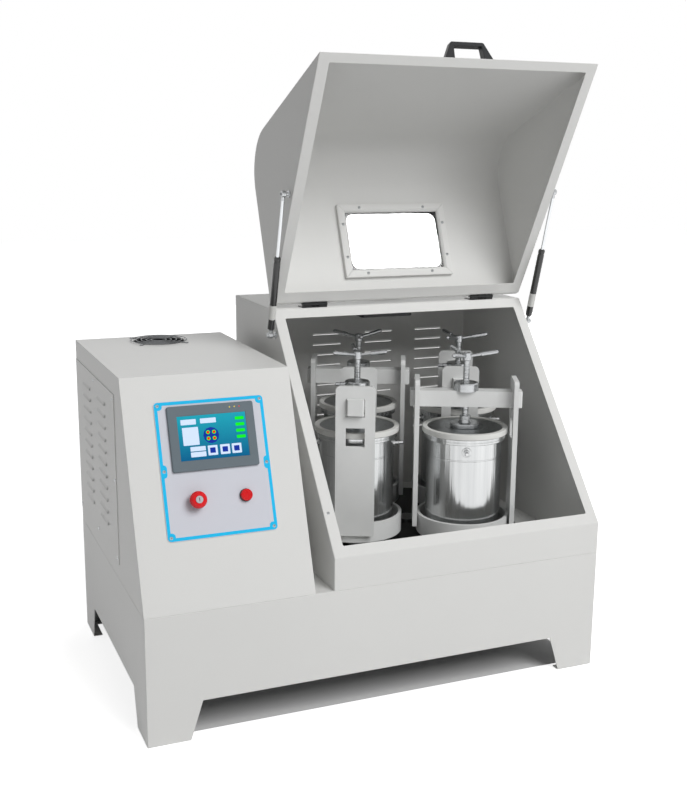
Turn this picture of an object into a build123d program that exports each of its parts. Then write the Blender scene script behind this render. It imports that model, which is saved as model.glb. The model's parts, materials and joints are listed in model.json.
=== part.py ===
# Planetary ball mill: a floor-standing cabinet with a control box on the left and, on the
# right, a milling chamber whose sloping mouth is closed by a lid on two gas struts.
# Four clamped jars stand on a turning disc and are turned back about their own axes by gears.
# Millimetres, +Z up, +Y to the back. The origin is on the floor under the middle of the mill.
import os
from math import atan2, cos, degrees, hypot, pi, radians, sin, tan
from build123d import *

os.makedirs("parts", exist_ok=True)

# ---- driving dimensions: cabinet and sheet metal ----
cabinet_length = 1180.0
cabinet_depth = 750.0
cabinet_height = 310.0
sheet = 2.0
foot_width = 100.0
foot_slant = 30.0
foot_cut_height = 94.0
foot_flange = 24.0
foot_flange_thickness = 3.0
touching_gap = 0.3

# ---- driving dimensions: control box ----
box_width = 404.0
box_height = 503.0
box_top_setback = 187.0
box_shallower = 4.0

# ---- driving dimensions: milling chamber ----
chamber_left = 450.0
lip_height = 80.0
rim_top_setback = 431.0
rim_height = 605.0
rim_flange = 28.0
louvre_stand = 5.0

# ---- driving dimensions: lid, all in its closed pose ----
lid_open_angle = 112.0
lid_gap = 3.0
lid_rise = 21.0
lid_corner_radius = 120.0
hinge_back = 5.0
hinge_lift = 9.0
window_length = 316.0
window_width = 202.0
window_setback = 62.0
window_border = 22.0
window_offset = 11.0
pane_thickness = 5.0

# ---- driving dimensions: planetary drive ----
mill_axis_setback = 371.0
station_radius = 196.0
first_station = -69.0
station_count = 4
bar_angle = 44.0
disc_radius = 294.0
disc_thickness = 16.0
disc_gap = 3.0
disc_opening_gap = 10.0
seat_lift = 17.0
gear_teeth = 32
gear_width = 30.0
gear_drop = 46.0
tooth_addendum = 4.2
tooth_backlash = 0.8

# ---- driving dimensions: jars and clamps ----
seat_radius = 119.0
seat_wall = 8.0
seat_height = 53.0
seat_floor = 14.0
jar_radius = 96.0
jar_height = 254.0
jar_flange_radius = 104.0
cover_ring_radius = 109.0
cover_ring_height = 15.0
post_width = 98.0
post_thickness = 12.0
post_top = 407.0
bar_length = 284.0
bar_width = 42.0
bar_height = 41.0
bar_level = 335.0
boss_radius = 32.0
boss_height = 20.0
screw_radius = 8.5
handle_level = 462.0
handle_reach = 80.0
foot_disc_radius = 37.0
foot_disc_height = 12.0
foot_stem_radius = 14.0

# ---- driving dimensions: struts ----
strut_stand = 15.0
strut_tube_radius = 9.0
strut_rod_radius = 4.0
strut_tube_length = 196.0
strut_low_setback = 407.0
strut_low_height = 853.0
strut_high_forward = 309.0
strut_high_depth = 21.0
strut_socket_radius = 8.0

# ---- driving dimensions: belt drive ----
motor_offset = 225.0
motor_radius = 85.0
motor_length = 240.0
motor_pulley_radius = 42.0
shaft_pulley_radius = 168.0
belt_level = 150.0
belt_width = 32.0
belt_thickness = 9.0
main_shaft_radius = 28.0
shaft_clearance = 0.08

# ---- places that follow from the driving dimensions ----
strut_reach = strut_stand + strut_tube_radius + touching_gap
left = -(cabinet_length + strut_reach - louvre_stand) / 2
right = left + cabinet_length
front = -(cabinet_depth + louvre_stand) / 2
back = front + cabinet_depth
box_back = back - box_shallower
box_top = cabinet_height + box_height
mill_left = left + chamber_left
mill_width = right - mill_left
mill_x = (mill_left + right) / 2
mill_y = front + mill_axis_setback
rim_low = cabinet_height + lip_height
rim_top_y = front + rim_top_setback
rim_top = cabinet_height + rim_height
rim_angle = degrees(atan2(rim_top - rim_low, rim_top_setback))
rim_length = hypot(rim_top - rim_low, rim_top_setback)
disc_bottom = cabinet_height + disc_gap
disc_top = disc_bottom + disc_thickness
seat_bottom = disc_top + seat_lift
gear_radius = station_radius / 2
gear_bottom = cabinet_height - gear_drop - gear_width / 2
stations = [first_station + 360.0 / station_count * n for n in range(station_count)]


def save(piece, label):
    """Label a finished piece and write it as parts/LABEL.step."""
    piece.part.label = label
    export_step(piece.part, f"parts/{label}.step")


def side_plane(x):
    """Vertical plane at x that looks along +X: local x runs to the back, local y runs up."""
    return Plane(origin=(x, 0, 0), x_dir=(0, 1, 0), z_dir=(1, 0, 0))


def front_plane(y):
    """Vertical plane at y that looks to the front: local x runs right, local y runs up."""
    return Plane(origin=(0, y, 0), x_dir=(1, 0, 0), z_dir=(0, -1, 0))


# ---- base cabinet: folded sheet with a cut-out between its feet on each side ----
base_middle_x = (left + right) / 2
base_middle_y = (front + back) / 2


def foot_gap(span):
    """Trapezoid between two feet under a side as long as span, open at the floor."""
    low = span / 2 - foot_width
    high = low - foot_slant
    Polygon((-low, -1), (low, -1), (high, foot_cut_height), (-high, foot_cut_height), align=None)


with BuildPart() as base_cabinet:
    with BuildSketch(Plane.XY.offset(foot_flange_thickness)):
        with Locations((base_middle_x, base_middle_y)):
            Rectangle(cabinet_length, cabinet_depth)
    extrude(amount=cabinet_height - foot_flange_thickness)
    base_floor = base_cabinet.faces().sort_by(Axis.Z)[0]
    offset(amount=-sheet, openings=base_floor)
    with BuildSketch(Plane.XY):
        with Locations((base_middle_x, base_middle_y)):
            Rectangle(cabinet_length, cabinet_depth)
            Rectangle(cabinet_length - 2 * foot_flange, cabinet_depth - 2 * foot_flange, mode=Mode.SUBTRACT)
    extrude(amount=foot_flange_thickness)
    with BuildSketch(front_plane(front - 1)):
        with Locations((base_middle_x, 0)):
            foot_gap(cabinet_length)
    extrude(amount=-cabinet_depth - 2, mode=Mode.SUBTRACT)
    with BuildSketch(side_plane(left - 1)):
        with Locations((base_middle_y, 0)):
            foot_gap(cabinet_depth)
    extrude(amount=cabinet_length + 2, mode=Mode.SUBTRACT)
    with BuildSketch(Plane.XY.offset(cabinet_height)):
        with Locations((mill_x, mill_y)):
            Circle(disc_radius + disc_opening_gap)
        with Locations((left + motor_offset, mill_y)):
            Circle(motor_radius + disc_opening_gap)
    extrude(amount=-2 * sheet, mode=Mode.SUBTRACT)
save(base_cabinet, "base_cabinet")

# ---- base frame: angle irons inside the cabinet that carry the shaft and the motor ----
angle_leg = 40.0
angle_wall = 4.0
rail_top = cabinet_height - sheet
carrier_level = gear_bottom - 22.0
carrier_offset = 85.0
motor_carrier_offset = motor_radius + 30.0


def angle_iron(x, y, toward_x, toward_y):
    """Equal-angle section with its corner at (x, y) and its legs running toward_x and toward_y."""
    end_x = x + angle_leg * toward_x
    end_y = y + angle_leg * toward_y
    wall_x = x + angle_wall * toward_x
    wall_y = y + angle_wall * toward_y
    Polygon((x, y), (end_x, y), (end_x, wall_y), (wall_x, wall_y), (wall_x, end_y), (x, end_y), align=None)


inner_left = left + sheet
inner_right = right - sheet
inner_front = front + sheet
inner_back = back - sheet

with BuildPart() as base_frame:
    with BuildSketch(Plane.XY.offset(foot_flange_thickness)):
        angle_iron(inner_left, inner_front, 1, 1)
        angle_iron(inner_right, inner_front, -1, 1)
        angle_iron(inner_left, inner_back, 1, -1)
        angle_iron(inner_right, inner_back, -1, -1)
    extrude(amount=rail_top - foot_flange_thickness)
    for rail_z in (rail_top, carrier_level):
        with BuildSketch(front_plane(inner_front)):
            angle_iron(inner_left, rail_z, 1, -1)
            angle_iron(inner_right, rail_z, -1, -1)
        extrude(amount=inner_front - inner_back)
        with BuildSketch(side_plane(inner_left)):
            angle_iron(inner_front, rail_z, 1, -1)
            angle_iron(inner_back, rail_z, -1, -1)
        extrude(amount=inner_right - inner_left)
    with BuildSketch(front_plane(inner_front)):
        for middle_x, reach in ((mill_x, carrier_offset), (left + motor_offset, motor_carrier_offset)):
            angle_iron(middle_x - reach, carrier_level, -1, -1)
            angle_iron(middle_x + reach, carrier_level, 1, -1)
    extrude(amount=inner_front - inner_back)
save(base_frame, "base_frame")

# ---- pressed louvres: hoods that stand off a wall, open at the bottom ----
louvre_width = 90.0
louvre_height = 9.0
louvre_skin = 1.2
louvre_pitch = 30.0
louvre_rows = 11
side_louvre_top = 405.0
side_louvre_setbacks = (cabinet_depth - 350.0, cabinet_depth - 163.0)
back_louvre_top = 477.0
back_louvre_columns = 4
back_louvre_pitch = 165.0
back_louvre_first = 112.0
cover_plate = 1.5


def louvre_profile(wall, low, outward, inner):
    """Triangular section of one hood whose lower lip stands louvre_stand off the wall."""
    stand = (louvre_stand - (louvre_skin if inner else 0)) * outward
    top = low + louvre_height - (2 * louvre_skin if inner else 0)
    sink = -2 * sheet * outward if inner else -louvre_skin * outward
    Polygon((wall + sink, low), (wall + stand, low), (wall, top), (wall + sink, top), align=None)


# ---- mill housing: sloping mouth with a folded rim, louvred back, open to the cabinet below ----
def chamber_outline():
    """Side outline of the milling chamber."""
    Polygon(
        (front, cabinet_height),
        (front, rim_low),
        (rim_top_y, rim_top),
        (back, rim_top),
        (back, cabinet_height),
        align=None,
    )


rim_middle_y = (front + rim_top_y) / 2
rim_middle_z = (rim_low + rim_top) / 2
rim_plane = Plane(
    origin=(mill_x, rim_middle_y, rim_middle_z),
    x_dir=(1, 0, 0),
    z_dir=(0, -sin(radians(rim_angle)), cos(radians(rim_angle))),
)
fan_setback = cabinet_depth - 158.0
fan_hole_radius = 68.0

with BuildPart() as mill_housing:
    with BuildSketch(side_plane(mill_left)):
        chamber_outline()
    extrude(amount=mill_width)
    with BuildSketch(side_plane(mill_left + sheet)):
        chamber_outline()
        offset(amount=-sheet, kind=Kind.INTERSECTION, mode=Mode.REPLACE)
        with Locations((base_middle_y, cabinet_height)):
            Rectangle(cabinet_depth - 2 * sheet, 4 * sheet)
    extrude(amount=mill_width - 2 * sheet, mode=Mode.SUBTRACT)
    with BuildSketch(rim_plane.offset(sheet)):
        RectangleRounded(mill_width - 2 * rim_flange, rim_length - 2 * rim_flange, 2 * sheet)
    extrude(amount=-3 * sheet, mode=Mode.SUBTRACT)
    with BuildSketch(Plane.XY.offset(rim_top + sheet)):
        with Locations((mill_x, front + fan_setback)):
            Circle(fan_hole_radius)
    extrude(amount=-3 * sheet, mode=Mode.SUBTRACT)
    for inner, mode in ((False, Mode.ADD), (True, Mode.SUBTRACT)):
        inset = louvre_skin if inner else 0
        for column in range(back_louvre_columns):
            column_x = mill_left + back_louvre_first + back_louvre_pitch * column
            with BuildSketch(side_plane(column_x - louvre_width / 2 + inset)):
                for row in range(louvre_rows):
                    louvre_profile(back, cabinet_height + back_louvre_top - louvre_pitch * row, 1, inner)
            extrude(amount=louvre_width - 2 * inset, mode=mode)
save(mill_housing, "mill_housing")

# ---- lid: its pieces are drawn as if it were closed and turned open about the hinge line ----
hinge_y = rim_top_y + hinge_back
hinge_z = rim_top + hinge_lift
lid_top = rim_top + lid_rise
rim_gap_up = lid_gap / cos(radians(rim_angle))
lid_opened = Location((0, hinge_y, hinge_z), (-lid_open_angle, 0, 0)) * Location((0, -hinge_y, -hinge_z))


def on_lid(plane):
    """The plane of a closed lid, carried to where the open lid has it."""
    return Plane(lid_opened * plane.location)


lid_rim_plane = rim_plane.offset(lid_gap)

with BuildSketch() as lid_side:
    Polygon(
        (front, rim_low + rim_gap_up),
        (front, lid_top),
        (rim_top_y, lid_top),
        (rim_top_y, rim_top + rim_gap_up),
        align=None,
    )
    fillet(lid_side.vertices().sort_by(Axis.Y)[-2:].sort_by(Axis.X)[0], lid_corner_radius)

window_x = mill_x + window_offset
window_y = rim_top_y - window_setback - window_width / 2
opening_length = window_length - 2 * window_border + 4.0
opening_width = window_width - 2 * window_border + 4.0
opening_corner = 22.0
gasket_thickness = 2.0
gasket_lip = 4.0
pane_lap = 12.0
frame_cover = 4.0
frame_draft = 20
pane_top = lid_top - sheet - gasket_thickness
pane_bottom = pane_top - pane_thickness
frame_bottom = pane_bottom - frame_cover
pane_length = opening_length + 2 * pane_lap
pane_width = opening_width + 2 * pane_lap

with BuildPart() as lid_hood:
    with BuildSketch(on_lid(side_plane(mill_left))):
        add(lid_side.sketch)
    extrude(amount=mill_width)
    with BuildSketch(on_lid(side_plane(mill_left + sheet))):
        add(lid_side.sketch)
        offset(amount=-sheet, kind=Kind.INTERSECTION, mode=Mode.REPLACE)
    extrude(amount=mill_width - 2 * sheet, mode=Mode.SUBTRACT)
    with BuildSketch(on_lid(lid_rim_plane.offset(3 * sheet))):
        RectangleRounded(mill_width - 2 * rim_flange, rim_length - 2 * rim_flange, 2 * sheet)
    extrude(amount=-6 * sheet, mode=Mode.SUBTRACT)
    with BuildSketch(on_lid(Plane.XY.offset(lid_top + sheet))):
        with Locations((window_x, window_y)):
            RectangleRounded(
                opening_length + 2 * gasket_lip, opening_width + 2 * gasket_lip, opening_corner + gasket_lip
            )
    extrude(amount=-3 * sheet, mode=Mode.SUBTRACT)
save(lid_hood, "lid_hood")

# ---- window: edging in the lid's hole, clear pane, and a mitred frame that clamps it from inside ----
with BuildPart() as window_gasket:
    with BuildSketch(on_lid(Plane.XY.offset(pane_top))):
        with Locations((window_x, window_y)):
            RectangleRounded(pane_length, pane_width, 4)
            RectangleRounded(opening_length, opening_width, opening_corner, mode=Mode.SUBTRACT)
    extrude(amount=gasket_thickness)
    with BuildSketch(on_lid(Plane.XY.offset(pane_top))):
        with Locations((window_x, window_y)):
            RectangleRounded(
                opening_length + 2 * gasket_lip, opening_width + 2 * gasket_lip, opening_corner + gasket_lip
            )
            RectangleRounded(opening_length, opening_width, opening_corner, mode=Mode.SUBTRACT)
    extrude(amount=gasket_thickness + sheet + 1)
save(window_gasket, "window_gasket")

with BuildPart() as window_pane:
    with BuildSketch(on_lid(Plane.XY.offset(pane_bottom))):
        with Locations((window_x, window_y)):
            RectangleRounded(pane_length, pane_width, 4)
    extrude(amount=pane_thickness)
save(window_pane, "window_pane")

with BuildPart() as window_frame:
    with BuildSketch(on_lid(Plane.XY.offset(lid_top - sheet))):
        with Locations((window_x, window_y)):
            Rectangle(window_length, window_width)
    extrude(amount=frame_bottom - lid_top + sheet, taper=frame_draft)
    with BuildSketch(on_lid(Plane.XY.offset(lid_top - sheet))):
        with Locations((window_x, window_y)):
            Rectangle(pane_length + 2 * touching_gap, pane_width + 2 * touching_gap)
    extrude(amount=pane_bottom - lid_top + sheet, mode=Mode.SUBTRACT)
    with BuildSketch(on_lid(Plane.XY.offset(lid_top - sheet))):
        with Locations((window_x, window_y)):
            Rectangle(opening_length + 4, opening_width + 4)
    extrude(amount=2 * (frame_bottom - lid_top), mode=Mode.SUBTRACT)
save(window_frame, "window_frame")

# ---- lid handle: a bridge on the upright front, near the lower edge ----
handle_base = 64.0
handle_top = 43.0
handle_stand = 42.0
handle_leg = 6.0
handle_bar = 10.0
handle_depth = 18.0
handle_raise = 17.0
handle_round = 6.0
handle_plane = Plane(origin=(window_x, front, rim_low + handle_raise), x_dir=(1, 0, 0), z_dir=(0, 0, 1))

with BuildPart() as lid_handle:
    with BuildSketch(on_lid(handle_plane)) as bridge:
        Polygon(
            (-handle_base, 0),
            (-handle_top, -handle_stand),
            (handle_top, -handle_stand),
            (handle_base, 0),
            align=None,
        )
        fillet(bridge.vertices().group_by(Axis.Y)[0], handle_round)
        inner_top = handle_top - handle_leg
        inner_base = inner_top + 2.0
        Polygon(
            (-inner_base, 1),
            (-inner_top, handle_bar - handle_stand),
            (inner_top, handle_bar - handle_stand),
            (inner_base, 1),
            align=None,
            mode=Mode.SUBTRACT,
        )
    extrude(amount=handle_depth / 2, both=True)
    chamfer(lid_handle.edges().filter_by(on_lid(Plane.XY)).group_by(Axis.Z)[-1], 2)
save(lid_handle, "lid_handle")

# ---- hinges: two leaf pairs, the pin held by the lid's leaf ----
hinge_inset = 118.0
hinge_width = 68.0
knuckle_radius = 4.5
knuckle_half = 12.0
pin_radius = 2.0
leaf = 2.0
leaf_reach = 36.0
leaf_foot = 8.0
leaf_neck = 3.5
knuckle_cut = 6.0
hinge_places = (mill_left + hinge_inset, right - hinge_inset)

with BuildPart() as hinge_fixed_leaves:
    for hinge_x in hinge_places:
        with BuildSketch(side_plane(hinge_x - hinge_width / 2)):
            Polygon(
                (hinge_y - 1, rim_top),
                (hinge_y + leaf_reach, rim_top),
                (hinge_y + leaf_reach, rim_top + leaf),
                (hinge_y + leaf_foot, rim_top + leaf),
                (hinge_y + leaf_neck, hinge_z),
                (hinge_y - 3, hinge_z),
                align=None,
            )
            with Locations((hinge_y, hinge_z)):
                Circle(knuckle_radius)
        extrude(amount=hinge_width)
        with BuildSketch(side_plane(hinge_x - knuckle_half)):
            with Locations((hinge_y, hinge_z)):
                Circle(knuckle_radius + 2 * touching_gap)
            Polygon(
                (hinge_y - knuckle_cut, rim_top + leaf),
                (hinge_y + knuckle_cut + 1, rim_top + leaf),
                (hinge_y + knuckle_cut, hinge_z),
                (hinge_y - knuckle_cut, hinge_z),
                align=None,
            )
        extrude(amount=2 * knuckle_half, mode=Mode.SUBTRACT)
        with BuildSketch(side_plane(hinge_x - hinge_width / 2)):
            with Locations((hinge_y, hinge_z)):
                Circle(pin_radius + shaft_clearance)
        extrude(amount=hinge_width, mode=Mode.SUBTRACT)
save(hinge_fixed_leaves, "hinge_fixed_leaves")

with BuildPart() as hinge_lid_leaves:
    for hinge_x in hinge_places:
        with BuildSketch(on_lid(side_plane(hinge_x - knuckle_half + touching_gap))):
            with Locations((hinge_y, hinge_z)):
                Circle(knuckle_radius)
            Polygon(
                (rim_top_y, hinge_z - 3),
                (rim_top_y + leaf, hinge_z - 3),
                (rim_top_y + leaf, lid_top),
                (rim_top_y, lid_top),
                align=None,
            )
        extrude(amount=2 * (knuckle_half - touching_gap))
        with BuildSketch(on_lid(side_plane(hinge_x - hinge_width / 2))):
            Polygon(
                (rim_top_y, hinge_z + knuckle_radius + 1),
                (rim_top_y + leaf, hinge_z + knuckle_radius + 1),
                (rim_top_y + leaf, lid_top),
                (rim_top_y, lid_top),
                align=None,
            )
            with Locations((hinge_y, hinge_z)):
                Circle(pin_radius)
        extrude(amount=hinge_width)
save(hinge_lid_leaves, "hinge_lid_leaves")

# ---- gas struts: tube pivoted on the housing, rod that slides in it, ball studs ----
strut_low_y = front + strut_low_setback
strut_low_z = strut_low_height
slope_y = cos(radians(rim_angle))
slope_z = sin(radians(rim_angle))
stud_closed_y = rim_top_y - strut_high_forward * slope_y - strut_high_depth * slope_z
stud_closed_z = rim_top + rim_gap_up - strut_high_forward * slope_z + strut_high_depth * slope_y
stud_open = Vector(*(lid_opened * Location((0, stud_closed_y, stud_closed_z))).position)
strut_run = hypot(stud_open.Y - strut_low_y, stud_open.Z - strut_low_z)
strut_dir = Vector(0, (stud_open.Y - strut_low_y) / strut_run, (stud_open.Z - strut_low_z) / strut_run)
socket_half = 6.0
socket_neck = 16.0
socket_neck_radius = 5.0
socket_neck_start = 6.0
stud_radius = 4.0
tube_gland = 10.0
tube_skin = 1.5
piston_length = 8.0
rod_overlap = 62.0
strut_places = {"left": mill_left - strut_stand, "right": right + strut_stand}


def strut_profile(x):
    """Plane through a strut's axis: local x runs away from the axis, local y runs along it."""
    across = Vector(1, 0, 0).cross(strut_dir)
    return Plane(origin=(x, strut_low_y, strut_low_z), x_dir=(1, 0, 0), z_dir=across)


tube_end = socket_neck + strut_tube_length
rod_start = tube_end - rod_overlap

with BuildPart() as strut_cylinders:
    for strut_x in strut_places.values():
        with BuildSketch(strut_profile(strut_x)):
            Polygon(
                (0, socket_neck_start),
                (socket_neck_radius, socket_neck_start),
                (socket_neck_radius, socket_neck),
                (strut_tube_radius, socket_neck),
                (strut_tube_radius, tube_end),
                (strut_rod_radius + shaft_clearance, tube_end),
                (strut_rod_radius + shaft_clearance, tube_end - tube_gland),
                (strut_tube_radius - tube_skin, tube_end - tube_gland),
                (strut_tube_radius - tube_skin, socket_neck + 4),
                (0, socket_neck + 4),
                align=None,
            )
        revolve(axis=Axis((strut_x, strut_low_y, strut_low_z), strut_dir))
        with BuildSketch(side_plane(strut_x - socket_half)):
            with Locations((strut_low_y, strut_low_z)):
                Circle(strut_socket_radius)
        extrude(amount=2 * socket_half)
        with BuildSketch(side_plane(strut_x - socket_half)):
            with Locations((strut_low_y, strut_low_z)):
                Circle(stud_radius + shaft_clearance)
        extrude(amount=2 * socket_half, mode=Mode.SUBTRACT)
save(strut_cylinders, "strut_cylinders")

with BuildPart() as strut_rods:
    for strut_x in strut_places.values():
        piston_radius = strut_tube_radius - tube_skin - shaft_clearance
        with BuildSketch(strut_profile(strut_x)):
            Polygon(
                (0, rod_start),
                (piston_radius, rod_start),
                (piston_radius, rod_start + piston_length),
                (strut_rod_radius, rod_start + piston_length),
                (strut_rod_radius, strut_run - socket_neck),
                (socket_neck_radius, strut_run - socket_neck),
                (socket_neck_radius, strut_run),
                (0, strut_run),
                align=None,
            )
        revolve(axis=Axis((strut_x, strut_low_y, strut_low_z), strut_dir))
        with BuildSketch(side_plane(strut_x - socket_half)):
            with Locations((stud_open.Y, stud_open.Z)):
                Circle(strut_socket_radius)
        extrude(amount=2 * socket_half)
save(strut_rods, "strut_rods")

# ---- control box: sloping front, open to the cabinet below ----
box_slope = degrees(atan2(box_height, box_top_setback))
face_up = Vector(0, cos(radians(box_slope)), sin(radians(box_slope)))
face_out = Vector(0, -sin(radians(box_slope)), cos(radians(box_slope)))
plate_left = 71.0
plate_raise = 159.0
plate_width = 260.0
plate_length = 316.0
plate_thickness = 2.0
plate_corner = 10.0
screen_middle = (201.0, 387.0)
screen_bezel = (204.0, 150.0)
screen_body = (188.0, 134.0)
screen_glass = (162.0, 102.0)
screen_bezel_height = 7.0
screen_bezel_corner = 5.0
screen_bezel_chamfer = 2.2
screen_body_depth = 32.0
screen_glass_depth = 1.2
stop_middle = (146.0, 246.0)
lamp_middle = (263.0, 246.0)
device_hole_radius = 11.2
plate_screw_inset = 9.0
fan_size = 150.0
fan_depth = 45.0
control_fan_right = 206.0
control_fan_inset = 88.0
control_fan_place = (left + control_fan_right, box_back - control_fan_inset)
chamber_fan_place = (mill_x, front + fan_setback)
panel_setback = 247.0
panel_back_inset = 8.0
panel_length = cabinet_depth - panel_setback - panel_back_inset
panel_raise = 40.0
panel_height = 413.0
panel_lap = 12.0
door_screw_inset = 13.0
panel_middle_y = front + panel_setback + panel_length / 2
panel_middle_z = cabinet_height + panel_raise + panel_height / 2
plate_middle = (plate_left + plate_width / 2, plate_raise + plate_length / 2)


def on_face(point, lift=0.0):
    """Plane on the sloping front at (across, up the slope), lifted off the sheet, facing out."""
    origin = Vector(left + point[0], front, cabinet_height) + face_up * point[1] + face_out * lift
    return Plane(origin=origin, x_dir=(1, 0, 0), z_dir=face_out)


with BuildSketch() as box_side:
    Polygon(
        (front, cabinet_height),
        (front + box_top_setback, box_top),
        (box_back, box_top),
        (box_back, cabinet_height),
        align=None,
    )

with BuildPart() as control_box:
    with BuildSketch(side_plane(left)):
        add(box_side.sketch)
    extrude(amount=box_width)
    with BuildSketch(side_plane(left + sheet)):
        add(box_side.sketch)
        offset(amount=-sheet, kind=Kind.INTERSECTION, mode=Mode.REPLACE)
        with Locations((base_middle_y, cabinet_height)):
            Rectangle(cabinet_depth - 4 * sheet, 2 * sheet)
    extrude(amount=box_width - 2 * sheet, mode=Mode.SUBTRACT)
    with BuildSketch(on_face(screen_middle, sheet)):
        Rectangle(screen_body[0] + 1, screen_body[1] + 1)
    extrude(amount=-3 * sheet, mode=Mode.SUBTRACT)
    for device in (stop_middle, lamp_middle):
        with BuildSketch(on_face(device, sheet)):
            Circle(device_hole_radius)
        extrude(amount=-3 * sheet, mode=Mode.SUBTRACT)
    with BuildSketch(Plane.XY.offset(box_top + sheet)):
        with Locations(control_fan_place):
            Circle(fan_hole_radius)
    extrude(amount=-3 * sheet, mode=Mode.SUBTRACT)
    with BuildSketch(side_plane(left - sheet)):
        with Locations((panel_middle_y, panel_middle_z)):
            Rectangle(panel_length - 4 * panel_lap, panel_height - 4 * panel_lap)
    extrude(amount=3 * sheet, mode=Mode.SUBTRACT)
save(control_box, "control_box")

with BuildPart() as control_side_panel:
    with BuildSketch(side_plane(left - cover_plate)):
        with Locations((panel_middle_y, panel_middle_z)):
            Rectangle(panel_length, panel_height)
    extrude(amount=cover_plate)
    for inner, mode in ((False, Mode.ADD), (True, Mode.SUBTRACT)):
        inset = louvre_skin if inner else 0
        for setback in side_louvre_setbacks:
            for row in range(louvre_rows):
                low = cabinet_height + side_louvre_top - louvre_pitch * row
                stand = louvre_stand - inset
                top = low + louvre_height - 2 * inset
                root = left if inner else left - cover_plate / 2
                with BuildSketch(front_plane(front + setback - louvre_width / 2 + inset)):
                    lip = left - stand
                    Polygon((root, low), (lip, low), (left - cover_plate, top), (root, top), align=None)
                extrude(amount=2 * inset - louvre_width, mode=mode)
save(control_side_panel, "control_side_panel")

# ---- control plate and what is set in it ----
with BuildPart() as control_plate:
    with BuildSketch(on_face(plate_middle)):
        RectangleRounded(plate_width, plate_length, plate_corner)
    extrude(amount=plate_thickness)
    with BuildSketch(on_face(screen_middle, 2 * plate_thickness)):
        Rectangle(screen_body[0] + 1, screen_body[1] + 1)
    extrude(amount=-3 * plate_thickness, mode=Mode.SUBTRACT)
    for device in (stop_middle, lamp_middle):
        with BuildSketch(on_face(device, 2 * plate_thickness)):
            Circle(device_hole_radius)
        extrude(amount=-3 * plate_thickness, mode=Mode.SUBTRACT)
save(control_plate, "control_plate")

with BuildPart() as touch_screen:
    with BuildSketch(on_face(screen_middle, plate_thickness)):
        RectangleRounded(screen_bezel[0], screen_bezel[1], screen_bezel_corner)
    extrude(amount=screen_bezel_height)
    bezel_front = touch_screen.faces().sort_by(Axis(on_face(screen_middle).origin, face_out))[-1]
    chamfer(bezel_front.edges(), screen_bezel_chamfer)
    with BuildSketch(on_face(screen_middle, plate_thickness)):
        Rectangle(screen_body[0], screen_body[1])
    extrude(amount=-screen_body_depth)
    with BuildSketch(on_face(screen_middle, plate_thickness + screen_bezel_height)):
        Rectangle(screen_glass[0], screen_glass[1])
    extrude(amount=-screen_glass_depth, mode=Mode.SUBTRACT)
save(touch_screen, "touch_screen")

device_fit = 0.2
stop_collar_radius = 14.5
stop_collar_height = 9.0
stop_barrel = 16.0
stop_contacts = (30.0, 40.0, 34.0)
stop_bore_depth = 24.0
stop_stem_length = 20.0
stop_cap_fillet = 6.0
stop_push = 6.0
stop_stem_radius = 8.0
stop_cap_radius = 20.0
stop_cap_height = 15.0
lock_radius = 8.5
lock_depth = 8.0
lock_proud = 0.6
key_slot = (1.6, 9.0, 5.0)

with BuildPart() as stop_switch:
    with BuildSketch(on_face(stop_middle, plate_thickness)):
        Circle(stop_collar_radius)
    extrude(amount=stop_collar_height)
    with BuildSketch(on_face(stop_middle, plate_thickness)):
        Circle(device_hole_radius - device_fit)
    extrude(amount=-stop_barrel)
    with BuildSketch(on_face(stop_middle, plate_thickness - stop_barrel)):
        Rectangle(stop_contacts[0], stop_contacts[1])
    extrude(amount=-stop_contacts[2])
    with BuildSketch(on_face(stop_middle, plate_thickness + stop_collar_height)):
        Circle(stop_stem_radius + shaft_clearance)
    extrude(amount=-stop_bore_depth, mode=Mode.SUBTRACT)
save(stop_switch, "stop_switch")

cap_start = plate_thickness + stop_collar_height + stop_push + touching_gap
with BuildPart() as stop_button:
    with BuildSketch(on_face(stop_middle, cap_start)):
        Circle(stop_cap_radius)
    extrude(amount=stop_cap_height)
    cap_axis = Axis(on_face(stop_middle).origin, face_out)
    fillet(stop_button.faces().sort_by(cap_axis)[-1].edges(), stop_cap_fillet)
    fillet(stop_button.faces().sort_by(cap_axis)[0].edges(), 2)
    with BuildSketch(on_face(stop_middle, cap_start)):
        Circle(stop_stem_radius)
    extrude(amount=-stop_stem_length)
    with BuildSketch(on_face(stop_middle, cap_start + stop_cap_height)):
        Circle(lock_radius + shaft_clearance)
    extrude(amount=-lock_depth, mode=Mode.SUBTRACT)
save(stop_button, "stop_button")

with BuildPart() as stop_lock:
    with BuildSketch(on_face(stop_middle, cap_start + stop_cap_height - lock_depth + touching_gap)):
        Circle(lock_radius)
    extrude(amount=lock_depth + lock_proud)
    with BuildSketch(on_face(stop_middle, cap_start + stop_cap_height + 1)):
        Rectangle(key_slot[0], key_slot[1])
    extrude(amount=-key_slot[2], mode=Mode.SUBTRACT)
save(stop_lock, "stop_lock")

lamp_radius = 15.0
lamp_rim = 4.0
lamp_barrel = 30.0
lens_radius = 13.0
lens_height = 11.0

with BuildPart() as power_lamp:
    with BuildSketch(on_face(lamp_middle, plate_thickness)):
        Circle(lamp_radius)
    extrude(amount=lamp_rim)
    with BuildSketch(on_face(lamp_middle, plate_thickness)):
        Circle(device_hole_radius - device_fit)
    extrude(amount=-lamp_barrel)
    with BuildSketch(on_face(lamp_middle, plate_thickness + lamp_rim)):
        Circle(lens_radius)
    extrude(amount=lens_height)
    lamp_axis = Axis(on_face(lamp_middle).origin, face_out)
    fillet(power_lamp.faces().sort_by(lamp_axis)[-1].edges(), lamp_rim)
save(power_lamp, "power_lamp")

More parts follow.
